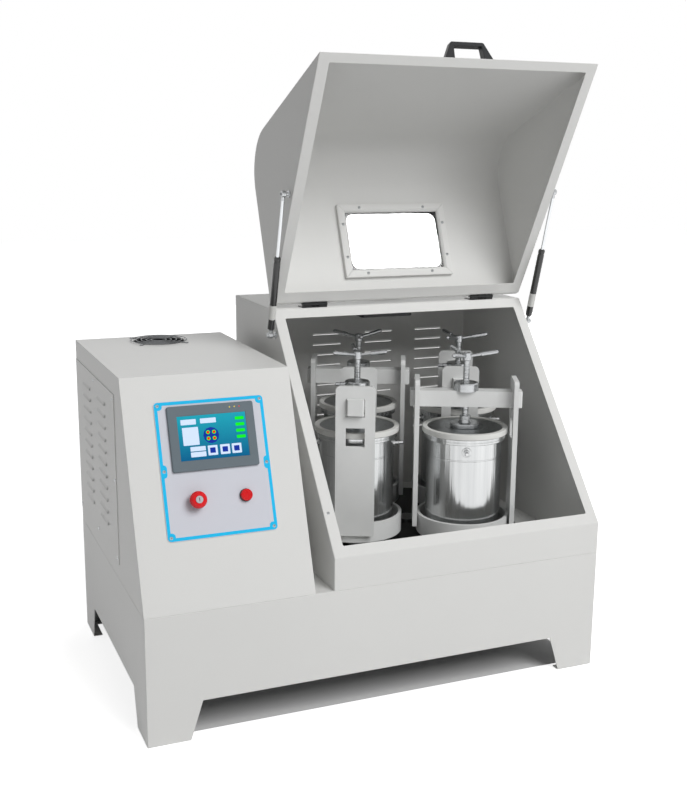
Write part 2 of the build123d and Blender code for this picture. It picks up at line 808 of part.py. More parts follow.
# ---- axial fans: square frame under the panel, wire guard on top, bladed rotor between ----
guard_thickness = 3.0
guard_rings = (22.0, 40.0, 58.0, 74.0)
guard_wire = 3.0
fan_bore_radius = fan_hole_radius
fan_blade_count = 7
fan_hub_radius = 27.0
fan_web = 4.0
fan_screw_pitch = 127.0
fan_corner = 8.0
fan_spider = 9.0
fan_pin_radius = 3.0
fan_pin_length = 12.0
fan_blade_tilt = 38
fan_blade = 2.4
guard_ear = 6.0
guard_ear_step = 14.0
rotor_play = 2.0


def make_fan(place, panel_top, frame_label, rotor_label):
    """One fan: frame and guard fixed to a horizontal panel, rotor hung on the frame's web."""
    frame_top = panel_top - sheet
    rotor_low = frame_top - fan_depth + fan_web + rotor_play
    rotor_high = frame_top - 3 * rotor_play
    ear_pitch = fan_screw_pitch - guard_ear_step
    with BuildPart() as fan:
        with BuildSketch(Plane.XY.offset(frame_top)):
            with Locations(place):
                RectangleRounded(fan_size, fan_size, fan_corner)
                Circle(fan_bore_radius, mode=Mode.SUBTRACT)
        extrude(amount=-fan_depth)
        with BuildSketch(Plane.XY.offset(frame_top - fan_depth)):
            with Locations(place):
                Circle(fan_hub_radius)
                Rectangle(2 * fan_bore_radius + 4, fan_spider)
                Rectangle(fan_spider, 2 * fan_bore_radius + 4)
        extrude(amount=fan_web)
        with BuildSketch(Plane.XY.offset(frame_top - fan_depth)):
            with Locations(place):
                Circle(fan_pin_radius - shaft_clearance)
        extrude(amount=fan_web + fan_pin_length)
        with BuildSketch(Plane.XY.offset(panel_top)):
            with Locations(place):
                for ring in guard_rings:
                    Circle(ring)
                    Circle(ring - guard_wire, mode=Mode.SUBTRACT)
                Rectangle(2 * guard_rings[-1] - 2, guard_wire)
                Rectangle(guard_wire, 2 * guard_rings[-1] - 2)
                with GridLocations(fan_screw_pitch, fan_screw_pitch, 2, 2):
                    Circle(guard_ear)
                with GridLocations(ear_pitch, ear_pitch, 2, 2):
                    Circle(guard_ear)
        extrude(amount=guard_thickness)
    save(fan, frame_label)
    with BuildPart() as rotor:
        with BuildSketch(Plane.XY.offset(rotor_low)):
            with Locations(place):
                Circle(fan_hub_radius)
        extrude(amount=rotor_high - rotor_low)
        blade_length = fan_bore_radius - fan_hub_radius - rotor_play
        blade_rise = rotor_high - rotor_low - 3 * rotor_play
        for blade in range(fan_blade_count):
            turn = radians(360 / fan_blade_count * blade)
            outward = Vector(cos(turn), sin(turn), 0)
            across = Vector(-sin(turn), cos(turn), 0)
            root = Vector(*place, (rotor_low + rotor_high) / 2) + outward * (fan_hub_radius - 3)
            with BuildSketch(Plane(origin=root, x_dir=across, z_dir=outward)):
                Rectangle(blade_rise * 1.1, fan_blade, rotation=fan_blade_tilt)
            extrude(amount=blade_length + 3)
        with BuildSketch(Plane.XY.offset(rotor_low)):
            with Locations(place):
                Circle(fan_pin_radius)
        extrude(amount=fan_pin_length + rotor_play, mode=Mode.SUBTRACT)
    save(rotor, rotor_label)


make_fan(control_fan_place, box_top, "control_fan", "control_fan_rotor")
make_fan(chamber_fan_place, rim_top, "chamber_fan", "chamber_fan_rotor")


# ---- gears: straight-flanked teeth on a pitch circle of half the station radius ----
tooth_pitch = 2 * pi * gear_radius / gear_teeth
tooth_dedendum = tooth_addendum + 1.0
pressure_angle = 20
flank_slope = tan(radians(pressure_angle))


def gear_outline(middle, turn):
    """Toothed disc about middle with one tooth at the angle turn."""
    half = (tooth_pitch / 2 - tooth_backlash) / 2
    root = gear_radius - tooth_dedendum
    tip = gear_radius + tooth_addendum
    with Locations(middle):
        Circle(root)
        with PolarLocations(0, gear_teeth, start_angle=turn):
            Polygon(
                (root - 2, -half - (tooth_dedendum + 2) * flank_slope),
                (tip, -half + tooth_addendum * flank_slope),
                (tip, half - tooth_addendum * flank_slope),
                (root - 2, half + (tooth_dedendum + 2) * flank_slope),
                align=None,
            )


# ---- shaft, its bearing housing on the frame, and the sun gear that stands still ----
shaft_low = belt_level - belt_width / 2 - 12
shaft_top = disc_top + 8
housing_flange = 14.0
housing_flange_radius = carrier_offset + 35
housing_radius = 60.0
housing_low = belt_level + belt_width / 2 + 14
bearing_width = 18.0
bearing_radius = 50.0
pulley_flange = 4.0
pulley_rim = 18.0
pulley_lip = 6.0
pulley_hub = 22.0
pulley_web = 12.0
web_hole_radius = 26.0
flange_bolt_inset = 14.0
flange_bolt_radius = 5.5

with BuildPart() as bearing_housing:
    with BuildSketch(Plane.XY.offset(carrier_level)):
        with Locations((mill_x, mill_y)):
            Circle(housing_flange_radius)
    extrude(amount=housing_flange)
    with BuildSketch(Plane.XY.offset(housing_low)):
        with Locations((mill_x, mill_y)):
            Circle(housing_radius)
    extrude(amount=gear_bottom - housing_low)
    with BuildSketch(Plane.XY.offset(housing_low)):
        with Locations((mill_x, mill_y)):
            Circle(bearing_radius)
    extrude(amount=gear_bottom - housing_low, mode=Mode.SUBTRACT)
    with BuildSketch(Plane.XY.offset(carrier_level)):
        with Locations((mill_x, mill_y)):
            with PolarLocations(housing_flange_radius - flange_bolt_inset, 6):
                Circle(flange_bolt_radius)
    extrude(amount=housing_flange, mode=Mode.SUBTRACT)
    for level in (housing_low, gear_bottom - bearing_width):
        with BuildSketch(Plane.XY.offset(level)):
            with Locations((mill_x, mill_y)):
                Circle(bearing_radius)
                Circle(main_shaft_radius + shaft_clearance, mode=Mode.SUBTRACT)
        extrude(amount=bearing_width)
    with BuildSketch(Plane.XY.offset(gear_bottom)):
        gear_outline((mill_x, mill_y), first_station)
        with Locations((mill_x, mill_y)):
            Circle(main_shaft_radius + 4, mode=Mode.SUBTRACT)
    extrude(amount=gear_width)
save(bearing_housing, "bearing_housing")

with BuildPart() as main_shaft:
    with BuildSketch(Plane.XY.offset(shaft_low)):
        with Locations((mill_x, mill_y)):
            Circle(main_shaft_radius)
    extrude(amount=shaft_top - shaft_low)
    with BuildSketch(Plane.XY.offset(belt_level - belt_width / 2 - pulley_flange)):
        with Locations((mill_x, mill_y)):
            Circle(shaft_pulley_radius + pulley_lip)
            Circle(shaft_pulley_radius - pulley_rim, mode=Mode.SUBTRACT)
            Circle(main_shaft_radius + pulley_hub)
    extrude(amount=belt_width + 2 * pulley_flange)
    with BuildSketch(Plane.XY.offset(belt_level - pulley_web / 2)):
        with Locations((mill_x, mill_y)):
            Circle(shaft_pulley_radius - 2)
            with PolarLocations((shaft_pulley_radius + main_shaft_radius) / 2, 6):
                Circle(web_hole_radius, mode=Mode.SUBTRACT)
    extrude(amount=pulley_web)
    with BuildSketch(Plane.XY.offset(belt_level - belt_width / 2 - 1)):
        with Locations((mill_x, mill_y)):
            Circle(shaft_pulley_radius + pulley_lip + 2)
            Circle(shaft_pulley_radius, mode=Mode.SUBTRACT)
    extrude(amount=belt_width + 2, mode=Mode.SUBTRACT)
save(main_shaft, "main_shaft")

# ---- turning disc that carries the four stations ----
planet_shaft_radius = 22.0
planet_boss_radius = 45.0
hub_radius = 62.0
boss_gap = 7.0
disc_chamfer = 1.5
boss_bottom = gear_bottom + gear_width + boss_gap

with BuildPart() as sun_disc:
    with BuildSketch(Plane.XY.offset(disc_bottom)):
        with Locations((mill_x, mill_y)):
            Circle(disc_radius)
    extrude(amount=disc_thickness)
    chamfer(sun_disc.edges().group_by(Axis.Z)[-1], disc_chamfer)
    with BuildSketch(Plane.XY.offset(boss_bottom)):
        with Locations((mill_x, mill_y)):
            Circle(hub_radius)
            with PolarLocations(station_radius, station_count, start_angle=first_station):
                Circle(planet_boss_radius)
    extrude(amount=disc_bottom - boss_bottom)
    with BuildSketch(Plane.XY.offset(disc_top + 1)):
        with Locations((mill_x, mill_y)):
            Circle(main_shaft_radius)
            with PolarLocations(station_radius, station_count, start_angle=first_station):
                Circle(planet_shaft_radius + shaft_clearance)
    extrude(amount=boss_bottom - disc_top - 2, mode=Mode.SUBTRACT)
save(sun_disc, "sun_disc")

# ---- motor, its pulley and the belt ----
motor_x = left + motor_offset
motor_plate = 10.0
motor_shaft_radius = 14.0
motor_plate_length = 2 * motor_carrier_offset + 70.0
motor_plate_width = 2 * motor_radius + 30.0
motor_plate_corner = 12.0
motor_skin = 10.0
motor_fin = (16.0, 5.0, 20)
motor_cowl = 50.0
motor_cowl_draft = 6
terminal_box = (76.0, 60.0, 40.0)
terminal_box_corner = 6.0
terminal_box_reach = 22.0
terminal_box_level = cabinet_height + 44.0
motor_body_low = carrier_level + motor_plate

with BuildPart() as drive_motor:
    with BuildSketch(Plane.XY.offset(carrier_level)):
        with Locations((motor_x, mill_y)):
            RectangleRounded(motor_plate_length, motor_plate_width, motor_plate_corner)
    extrude(amount=motor_plate)
    with BuildSketch(Plane.XY.offset(motor_body_low)):
        with Locations((motor_x, mill_y)):
            Circle(motor_radius - motor_skin)
            with PolarLocations(motor_radius - motor_fin[0] / 2, motor_fin[2]):
                Rectangle(motor_fin[0], motor_fin[1])
    extrude(amount=motor_length - motor_cowl)
    with BuildSketch(Plane.XY.offset(motor_body_low + motor_length - motor_cowl)):
        with Locations((motor_x, mill_y)):
            Circle(motor_radius)
    extrude(amount=motor_cowl, taper=motor_cowl_draft)
    with BuildSketch(front_plane(mill_y - motor_radius - terminal_box_reach)):
        with Locations((motor_x, terminal_box_level)):
            RectangleRounded(terminal_box[0], terminal_box[1], terminal_box_corner)
    extrude(amount=-terminal_box[2])
    with BuildSketch(Plane.XY.offset(carrier_level)):
        with Locations((motor_x, mill_y)):
            Circle(motor_shaft_radius + shaft_clearance)
    extrude(amount=motor_length / 2, mode=Mode.SUBTRACT)
save(drive_motor, "drive_motor")

with BuildPart() as motor_pulley:
    with BuildSketch(Plane.XY.offset(belt_level - belt_width / 2 - pulley_flange)):
        with Locations((motor_x, mill_y)):
            Circle(motor_pulley_radius + pulley_lip)
    extrude(amount=belt_width + 2 * pulley_flange)
    with BuildSketch(Plane.XY.offset(belt_level - belt_width / 2 - 1)):
        with Locations((motor_x, mill_y)):
            Circle(motor_pulley_radius + pulley_lip + 2)
            Circle(motor_pulley_radius, mode=Mode.SUBTRACT)
    extrude(amount=belt_width + 2, mode=Mode.SUBTRACT)
    with BuildSketch(Plane.XY.offset(belt_level)):
        with Locations((motor_x, mill_y)):
            Circle(motor_shaft_radius)
    extrude(amount=carrier_level - belt_level + motor_length / 2 - 4)
save(motor_pulley, "motor_pulley")

with BuildPart() as drive_belt:
    for grow, mode in ((belt_thickness + touching_gap, Mode.ADD), (touching_gap, Mode.SUBTRACT)):
        with BuildSketch(Plane.XY.offset(belt_level - belt_width / 2)):
            with BuildLine():
                CenterArc((motor_x, mill_y), motor_pulley_radius + grow, 0, 360)
                CenterArc((mill_x, mill_y), shaft_pulley_radius + grow, 0, 360)
            make_hull()
        extrude(amount=belt_width, mode=mode)
save(drive_belt, "drive_belt")


# ---- the four stations: gear and shaft under the disc, seat, jar, cover and clamp above it ----
handle_turns = (0.0, 32.0, -23.0, -48.0)
pin_sides = (1, 1, -1, -1)
seat_post_start = 24.0
slot_width = 47.0
slot_height = 46.0
low_slot_drop = 74.0
low_slot_height = 48.0
jar_wall = 6.0
jar_base = 10.0
jar_flange_height = 14.0
cover_plate_height = 12.0
cover_plate_radius = 96.0
valve_drop = 32.0
valve_reach = 25.0
pin_radius_root = 6.0
pin_length = 13.0
foot_stem_top = 42.0
screw_tip_depth = 12.0
hub_half = 10.0
arm_rise = 10.0
arm_count = 3
arm_radius = 4.0
sleeve_radius = 5.5
sleeve_share = 0.45
hub_chamfer = 1.5
post_corner = 12.0
port_steps = ((12.0, -4.0, 3.0), (7.0, 0.0, 12.0), (4.5, 0.0, valve_reach))

jar_bottom = seat_bottom + seat_floor
jar_top = jar_bottom + jar_height
cover_top = jar_top + cover_plate_height
bar_bottom = seat_bottom + bar_level
bar_top = bar_bottom + bar_height
foot_top = jar_top + foot_stem_top
handle_z = seat_bottom + handle_level
post_inner = seat_radius - 1.0

for number, station in enumerate(stations, 1):
    middle_x = mill_x + station_radius * cos(radians(station))
    middle_y = mill_y + station_radius * sin(radians(station))
    bar_turn = radians(station + bar_angle)
    along_bar = Vector(cos(bar_turn), sin(bar_turn), 0)
    across_bar = Vector(-sin(bar_turn), cos(bar_turn), 0)

    def level(z):
        """Horizontal plane on the station's axis, with its local x along the clamp bar."""
        return Plane(origin=(middle_x, middle_y, z), x_dir=along_bar, z_dir=(0, 0, 1))

    def upright(offset, normal):
        """Upright plane at an offset along normal from the axis; local y runs up from the floor."""
        origin = Vector(middle_x, middle_y, 0) + normal * offset
        return Plane(origin=origin, x_dir=Vector(0, 0, 1).cross(normal), z_dir=normal)

    with BuildPart() as planet_gear:
        with BuildSketch(Plane.XY.offset(gear_bottom)):
            gear_outline((middle_x, middle_y), station + 180 + 180 / gear_teeth)
        extrude(amount=gear_width)
        with BuildSketch(level(gear_bottom)):
            Circle(planet_shaft_radius)
        extrude(amount=seat_bottom - gear_bottom)
        with BuildSketch(level(seat_bottom)):
            Circle(planet_boss_radius)
        extrude(amount=touching_gap - seat_lift)
    save(planet_gear, f"planet_gear_{number}")

    with BuildPart() as jar_seat:
        with BuildSketch(level(seat_bottom)):
            Circle(seat_radius)
        extrude(amount=seat_height)
        chamfer(jar_seat.faces().sort_by(Axis.Z)[0].edges(), 3)
        with BuildSketch(level(seat_bottom + seat_floor)):
            Circle(seat_radius - seat_wall)
        extrude(amount=seat_height, mode=Mode.SUBTRACT)
        for end in (1, -1):
            with BuildSketch(upright(post_inner, along_bar * end)) as post:
                with Locations((0, seat_bottom + (seat_post_start + post_top) / 2)):
                    Rectangle(post_width, post_top - seat_post_start)
                fillet(post.vertices().group_by(Axis.Y)[-1], post_corner)
                with Locations((0, bar_top - slot_height / 2)):
                    Rectangle(slot_width, slot_height, mode=Mode.SUBTRACT)
                with Locations((0, bar_top - low_slot_drop - low_slot_height / 2)):
                    Rectangle(slot_width, low_slot_height, mode=Mode.SUBTRACT)
            extrude(amount=post_thickness)
    save(jar_seat, f"jar_seat_{number}")

    with BuildPart() as jar:
        with BuildSketch(level(jar_bottom)):
            Circle(jar_radius)
        extrude(amount=jar_height - jar_flange_height)
        with BuildSketch(level(jar_top)):
            Circle(jar_flange_radius)
        extrude(amount=-jar_flange_height)
        with BuildSketch(level(jar_top)):
            Circle(jar_radius - jar_wall)
        extrude(amount=jar_base - jar_height, mode=Mode.SUBTRACT)
        for end in (1, -1):
            for radius, near, far in port_steps:
                with BuildSketch(upright(jar_radius + near, across_bar * end)):
                    with Locations((0, jar_top - valve_drop)):
                        Circle(radius)
                extrude(amount=far - near)
    save(jar, f"jar_{number}")

    with BuildPart() as jar_cover:
        with BuildSketch(level(jar_top)):
            Circle(cover_plate_radius)
        extrude(amount=cover_plate_height)
        with BuildSketch(level(jar_top)):
            Circle(cover_ring_radius)
            Circle(cover_plate_radius, mode=Mode.SUBTRACT)
        extrude(amount=cover_ring_height)
        fillet(jar_cover.edges().group_by(Axis.Z)[-1], (cover_ring_height - cover_plate_height) / 2)
    save(jar_cover, f"jar_cover_{number}")

    with BuildPart() as clamp_bar:
        with BuildSketch(level(bar_bottom)):
            Rectangle(bar_length, bar_width)
        extrude(amount=bar_height)
        chamfer(clamp_bar.edges().filter_by(Axis.Z), 3)
        with BuildSketch(level(bar_top)):
            Circle(boss_radius)
        extrude(amount=boss_height)
        chamfer(clamp_bar.edges().group_by(Axis.Z)[-1], 2)
        for radius, far in ((pin_radius_root, pin_length), (pin_radius_root - 1.5, 2 * pin_length)):
            with BuildSketch(upright(boss_radius - 2, across_bar * pin_sides[number - 1])):
                with Locations((0, bar_top + boss_height / 2)):
                    Circle(radius)
            extrude(amount=far)
        with BuildSketch(level(bar_bottom)):
            Circle(screw_radius + shaft_clearance)
        extrude(amount=bar_height + boss_height, mode=Mode.SUBTRACT)
    save(clamp_bar, f"clamp_bar_{number}")

    with BuildPart() as pressure_foot:
        with BuildSketch(level(cover_top)):
            Circle(foot_disc_radius)
        extrude(amount=foot_disc_height)
        chamfer(pressure_foot.edges().group_by(Axis.Z)[-1], 2)
        with BuildSketch(level(cover_top)):
            Circle(foot_stem_radius)
        extrude(amount=foot_top - cover_top)
        with BuildSketch(level(foot_top)):
            Circle(screw_radius + shaft_clearance)
        extrude(amount=-screw_tip_depth, mode=Mode.SUBTRACT)
    save(pressure_foot, f"pressure_foot_{number}")

    with BuildPart() as clamp_screw:
        with BuildSketch(level(foot_top - screw_tip_depth)):
            Circle(screw_radius)
        extrude(amount=handle_z + hub_half - foot_top + screw_tip_depth)
        with BuildSketch(level(handle_z - hub_half)):
            Circle(hub_half + 1)
        extrude(amount=2 * hub_half)
        chamfer(clamp_screw.edges().group_by(Axis.Z)[-1], hub_chamfer)
        for arm in range(arm_count):
            turn = radians(handle_turns[number - 1] + 360 / arm_count * arm)
            rise = radians(arm_rise)
            reach = Vector(cos(turn) * cos(rise), sin(turn) * cos(rise), sin(rise))
            sideways = Vector(-sin(turn), cos(turn), 0)
            hub = Vector(middle_x, middle_y, handle_z)
            sleeve_start = handle_reach * sleeve_share
            arm_step = (arm_radius, arm_radius, handle_reach - 2)
            for radius, start, end in (arm_step, (sleeve_radius, sleeve_start, handle_reach)):
                with BuildSketch(Plane(origin=hub + reach * start, x_dir=sideways, z_dir=reach)):
                    Circle(radius)
                extrude(amount=end - start)
    save(clamp_screw, f"clamp_screw_{number}")

# ---- fasteners fixed to the cabinet and to the lid ----
screw_head_radius = 4.0
screw_head_height = 2.2
stud_washer_radius = 9.0
stud_washer = 3.0
rim_pin_raise = 113.0
rim_pin_inset = 12.0
frame_screws_along = 0.6
frame_screws_across = 0.45
frame_screw_line = window_border - 2.0

with BuildPart() as housing_fasteners:
    door_rows = (panel_height - 2 * door_screw_inset) / 2
    plate_rows = (plate_length - 2 * plate_screw_inset) / 2
    with BuildSketch(side_plane(left - cover_plate)):
        with Locations((panel_middle_y, panel_middle_z)):
            with GridLocations(panel_length - 2 * door_screw_inset, door_rows, 2, 3):
                Circle(screw_head_radius)
            with GridLocations(0, 2 * door_rows, 1, 2):
                Circle(screw_head_radius)
    extrude(amount=-screw_head_height)
    with BuildSketch(on_face(plate_middle, plate_thickness)):
        with GridLocations(plate_width - 2 * plate_screw_inset, plate_rows, 2, 3):
            Circle(screw_head_radius)
    extrude(amount=screw_head_height)
    with BuildSketch(rim_plane):
        with Locations((rim_pin_inset - mill_width / 2, rim_pin_raise - rim_length / 2)):
            Circle(screw_head_radius)
    extrude(amount=screw_head_height)
    for side, strut_x in strut_places.items():
        wall_x = mill_left if side == "left" else right
        outward = -1 if side == "left" else 1
        far_x = strut_x + outward * (socket_half + 3)
        with BuildSketch(side_plane(wall_x)):
            with Locations((strut_low_y, strut_low_z)):
                Circle(stud_radius)
        extrude(amount=far_x - wall_x)
        with BuildSketch(side_plane(wall_x)):
            with Locations((strut_low_y, strut_low_z)):
                Circle(stud_washer_radius)
        extrude(amount=outward * stud_washer)
        with BuildSketch(side_plane(strut_x + outward * (socket_half + touching_gap))):
            with Locations((strut_low_y, strut_low_z)):
                Circle(stud_radius + 2)
        extrude(amount=outward * (3 - touching_gap))
save(housing_fasteners, "housing_fasteners")

with BuildPart() as lid_fasteners:
    with BuildSketch(on_lid(Plane.XY.offset(frame_bottom))):
        with Locations((window_x, window_y)):
            with GridLocations(window_length * frame_screws_along, window_width - frame_screw_line, 2, 2):
                Circle(screw_head_radius)
            with GridLocations(window_length - frame_screw_line, window_width * frame_screws_across, 2, 2):
                Circle(screw_head_radius)
    extrude(amount=-screw_head_height)
    for side, strut_x in strut_places.items():
        wall_x = mill_left if side == "left" else right
        outward = -1 if side == "left" else 1
        reach = abs(strut_x - wall_x) - socket_half - touching_gap
        for radius, length in ((stud_radius, reach), (stud_washer_radius, stud_washer)):
            with BuildSketch(on_lid(side_plane(wall_x))):
                with Locations((stud_closed_y, stud_closed_z)):
                    Circle(radius)
            extrude(amount=outward * length)
save(lid_fasteners, "lid_fasteners")
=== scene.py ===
import json
import math
import bmesh
import bpy
from mathutils import Matrix, Vector


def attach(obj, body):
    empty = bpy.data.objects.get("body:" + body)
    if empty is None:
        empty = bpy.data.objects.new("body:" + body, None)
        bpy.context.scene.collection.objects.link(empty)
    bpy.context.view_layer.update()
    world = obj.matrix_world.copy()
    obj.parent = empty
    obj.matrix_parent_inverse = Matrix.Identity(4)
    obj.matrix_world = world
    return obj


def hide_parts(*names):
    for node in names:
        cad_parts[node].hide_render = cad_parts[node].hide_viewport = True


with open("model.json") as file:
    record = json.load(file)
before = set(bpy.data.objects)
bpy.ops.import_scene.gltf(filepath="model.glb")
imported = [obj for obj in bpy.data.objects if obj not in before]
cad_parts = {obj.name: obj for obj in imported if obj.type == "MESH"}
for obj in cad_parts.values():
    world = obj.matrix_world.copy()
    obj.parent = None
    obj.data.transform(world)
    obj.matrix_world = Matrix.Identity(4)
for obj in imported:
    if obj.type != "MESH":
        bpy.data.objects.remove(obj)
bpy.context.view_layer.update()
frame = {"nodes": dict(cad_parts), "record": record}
nodes = frame["nodes"]
bodyOf = {node: body for body, members in frame["record"]["behaviour"]["bodies"].items() for node in members}
slotOf = {part["node"]: part["material_slot"] for part in frame["record"]["subparts"]}

# metres; +Z up, the operator stands at -Y
mill = {
    "left": -0.59965, "right": 0.58035, "front": -0.3775, "back": 0.3725,
    "millLeft": -0.14965, "millX": 0.21535, "millY": -0.0065,
    "cabinetTop": 0.310, "boxTop": 0.813, "boxSetback": 0.187,
    "rimLow": 0.390, "rimTop": 0.915, "rimTopY": 0.0535, "lidTop": 0.936,
    "hingeY": 0.0585, "hingeZ": 0.924, "lidOpen": 112.0,
    "stations": (-69.0, 21.0, 111.0, 201.0), "stationRadius": 0.196, "barAngle": 44.0,
}


def linear(hexText):
    parts = [int(hexText[i:i + 2], 16) / 255 for i in (1, 3, 5)]
    return tuple(c / 12.92 if c <= 0.04045 else ((c + 0.055) / 1.055) ** 2.4 for c in parts) + (1.0,)


def addNode(tree, kind, settings=None, inputs=None):
    node = tree.nodes.new(kind)
    for name, value in (settings or {}).items():
        setattr(node, name, value)
    for socket, value in (inputs or {}).items():
        if isinstance(value, bpy.types.NodeSocket):
            tree.links.new(value, node.inputs[socket])
        else:
            node.inputs[socket].default_value = value
    return node


# ---------- finishes ----------
def makeFinish(name, colour, rough, metal=0.0, vary=None, varySize=0.3, grain=0.0, grainSize=0.004,
               stretch=(1, 1, 1), roughVary=0.0, coat=0.0, glow=0.0, **sockets):
    finish = bpy.data.materials.new(name)
    finish.use_nodes = True
    tree = finish.node_tree
    shader = tree.nodes["Principled BSDF"]
    shader.inputs["Base Color"].default_value = linear(colour)
    shader.inputs["Roughness"].default_value = rough
    shader.inputs["Metallic"].default_value = metal
    shader.inputs["Coat Weight"].default_value = coat
    if glow:
        shader.inputs["Emission Color"].default_value = linear(colour)
        shader.inputs["Emission Strength"].default_value = glow
    for socket, value in sockets.items():
        shader.inputs[socket.replace("_", " ")].default_value = value
    place = addNode(tree, "ShaderNodeTexCoord").outputs["Object"]
    spread = addNode(tree, "ShaderNodeMapping", None, {"Vector": place, "Scale": stretch}).outputs["Vector"]
    if vary:
        clouds = addNode(tree, "ShaderNodeTexNoise", None, {"Vector": spread, "Scale": 1 / varySize, "Detail": 3.0})
        mix = addNode(tree, "ShaderNodeMix", {"data_type": "RGBA"}, {"Factor": clouds.outputs["Fac"]})
        mix.inputs[6].default_value = linear(colour)
        mix.inputs[7].default_value = linear(vary)
        tree.links.new(mix.outputs[2], shader.inputs["Base Color"])
    if grain or roughVary:
        fine = addNode(tree, "ShaderNodeTexNoise", None, {"Vector": spread, "Scale": 1 / grainSize, "Detail": 2.0})
    if roughVary:
        span = addNode(tree, "ShaderNodeMapRange", None, {"Value": fine.outputs["Fac"],
                       "To Min": rough - roughVary, "To Max": rough + roughVary})
        tree.links.new(span.outputs["Result"], shader.inputs["Roughness"])
    if grain:
        bump = addNode(tree, "ShaderNodeBump", None, {"Height": fine.outputs["Fac"], "Strength": grain,
                       "Distance": 0.001})
        tree.links.new(bump.outputs["Normal"], shader.inputs["Normal"])
    return finish


# polyester powder coat sprayed on sheet steel: satin, with an orange-peel skin a few millimetres across
powderCoat = makeFinish("powderCoat", "#E2E2E0", 0.42, vary="#DDDDDB", varySize=0.4, grain=0.12, grainSize=0.005,
                        Specular_IOR_Level=0.4)
# the same paint on the clamps' machined steel: a little smoother
clampPaint = makeFinish("clampPaint", "#E2E3E2", 0.36, vary="#DADBDA", varySize=0.06, grain=0.08, grainSize=0.004)
# printed aluminium sheet under a clear film: cool, even and slightly glossy
printedPlate = makeFinish("printedPlate", "#D3D5DD", 0.34, vary="#CFD1DA", varySize=0.2, grain=0.03, coat=0.15)
printedBlue = makeFinish("printedBlue", "#00C3F7", 0.36, vary="#04BDF0", varySize=0.1, grain=0.03, coat=0.15)
# moulded ABS: fine spark-eroded texture
slateAbs = makeFinish("slateAbs", "#68737A", 0.5, vary="#626D74", varySize=0.05, grain=0.15, grainSize=0.0015)
blackNylon = makeFinish("blackNylon", "#17181A", 0.42, vary="#1F2022", varySize=0.03, grain=0.15, grainSize=0.002)
# signal red ABS of the stop mushroom and the lamp's lens
stopRed = makeFinish("stopRed", "#E30713", 0.26, vary="#D90611", varySize=0.02, grain=0.03, coat=0.1,
                     Specular_IOR_Level=0.3)
lampRed = makeFinish("lampRed", "#E50A14", 0.2, vary="#D20812", varySize=0.01, coat=0.15, Specular_IOR_Level=0.25)
# stainless jar, rolled from sheet and polished: reflections drawn out upright and broken into upright streaks by bumps;
# the darker upright streaks in its colour are painted reflection streaks
polishedSteel = makeFinish("polishedSteel", "#D2D3D3", 0.2, metal=1.0, vary="#A9ABAC", varySize=0.012,
                           grain=0.5, grainSize=0.014, stretch=(1, 1, 0.02), roughVary=0.07, Anisotropic=0.8)
jarTree = polishedSteel.node_tree
around = addNode(jarTree, "ShaderNodeTangent", {"direction_type": "RADIAL", "axis": "Z"}).outputs["Tangent"]
jarTree.links.new(around, jarTree.nodes["Principled BSDF"].inputs["Tangent"])
jarTree.nodes["Bump"].inputs["Distance"].default_value = 0.004
# turned bright steel of the feet, bosses and screws
turnedSteel = makeFinish("turnedSteel", "#BFC1C2", 0.26, metal=1.0, vary="#A9ABAD", varySize=0.02,
                         grain=0.08, grainSize=0.003, stretch=(1, 1, 8), roughVary=0.06)
# hard chrome of the strut rods
hardChrome = makeFinish("hardChrome", "#D9DBDD", 0.1, metal=1.0, vary="#CDD0D2", varySize=0.03, roughVary=0.03)
# nickel-plated wire of the fan guards: duller, so thin wires carry no hard sparks
guardWire = makeFinish("guardWire", "#8F9193", 0.42, metal=1.0, vary="#7E8082", varySize=0.01, roughVary=0.05)
# zinc plate: pale, faintly blotched
zincPlate = makeFinish("zincPlate", "#C4C6C7", 0.32, metal=1.0, vary="#AEB1B3", varySize=0.006, roughVary=0.08)
# white acetal ring of the jar's cover
acetalWhite = makeFinish("acetalWhite", "#E2E2DF", 0.4, vary="#DADAD6", varySize=0.03, grain=0.04)
coverSteel = makeFinish("coverSteel", "#8E9192", 0.3, metal=1.0, vary="#7D8082", varySize=0.04, grain=0.05,
                        grainSize=0.004, roughVary=0.1)
# black stove enamel of the strut tubes and black oxide of the hinges
strutEnamel = makeFinish("strutEnamel", "#0D0E0F", 0.2, vary="#131415", varySize=0.02, grain=0.03, coat=0.5)
hingeBlack = makeFinish("hingeBlack", "#1C1D1E", 0.38, vary="#2A2B2C", varySize=0.01, grain=0.1, metal=0.4)
labelWhite = makeFinish("labelWhite", "#D9D9D6", 0.5, vary="#CFCFCC", varySize=0.02, grain=0.03)
# satin black paint of the turning disc, dusty where nothing rubs it
discBlack = makeFinish("discBlack", "#0F1011", 0.5, vary="#1A1B1C", varySize=0.08, grain=0.1, grainSize=0.003)
edgingRubber = makeFinish("edgingRubber", "#0E0F10", 0.6, vary="#161718", varySize=0.01, grain=0.12, grainSize=0.001)
beltRubber = makeFinish("beltRubber", "#181818", 0.62, vary="#222222", varySize=0.01, grain=0.2, grainSize=0.001)
clearPane = makeFinish("clearPane", "#FFFFFF", 0.03, Transmission_Weight=1.0, IOR=1.49)
castHousing = makeFinish("castHousing", "#6A7074", 0.55, metal=0.3, vary="#5C6266", varySize=0.02, grain=0.35,
                         grainSize=0.003)
gearSteel = makeFinish("gearSteel", "#8A8C8E", 0.3, metal=1.0, vary="#76787A", varySize=0.02, grain=0.1,
                       grainSize=0.002)
motorEnamel = makeFinish("motorEnamel", "#5B6875", 0.4, vary="#54616D", varySize=0.05, grain=0.2, grainSize=0.003)
primerGrey = makeFinish("primerGrey", "#8D9193", 0.5, vary="#85898B", varySize=0.1, grain=0.12, grainSize=0.004)
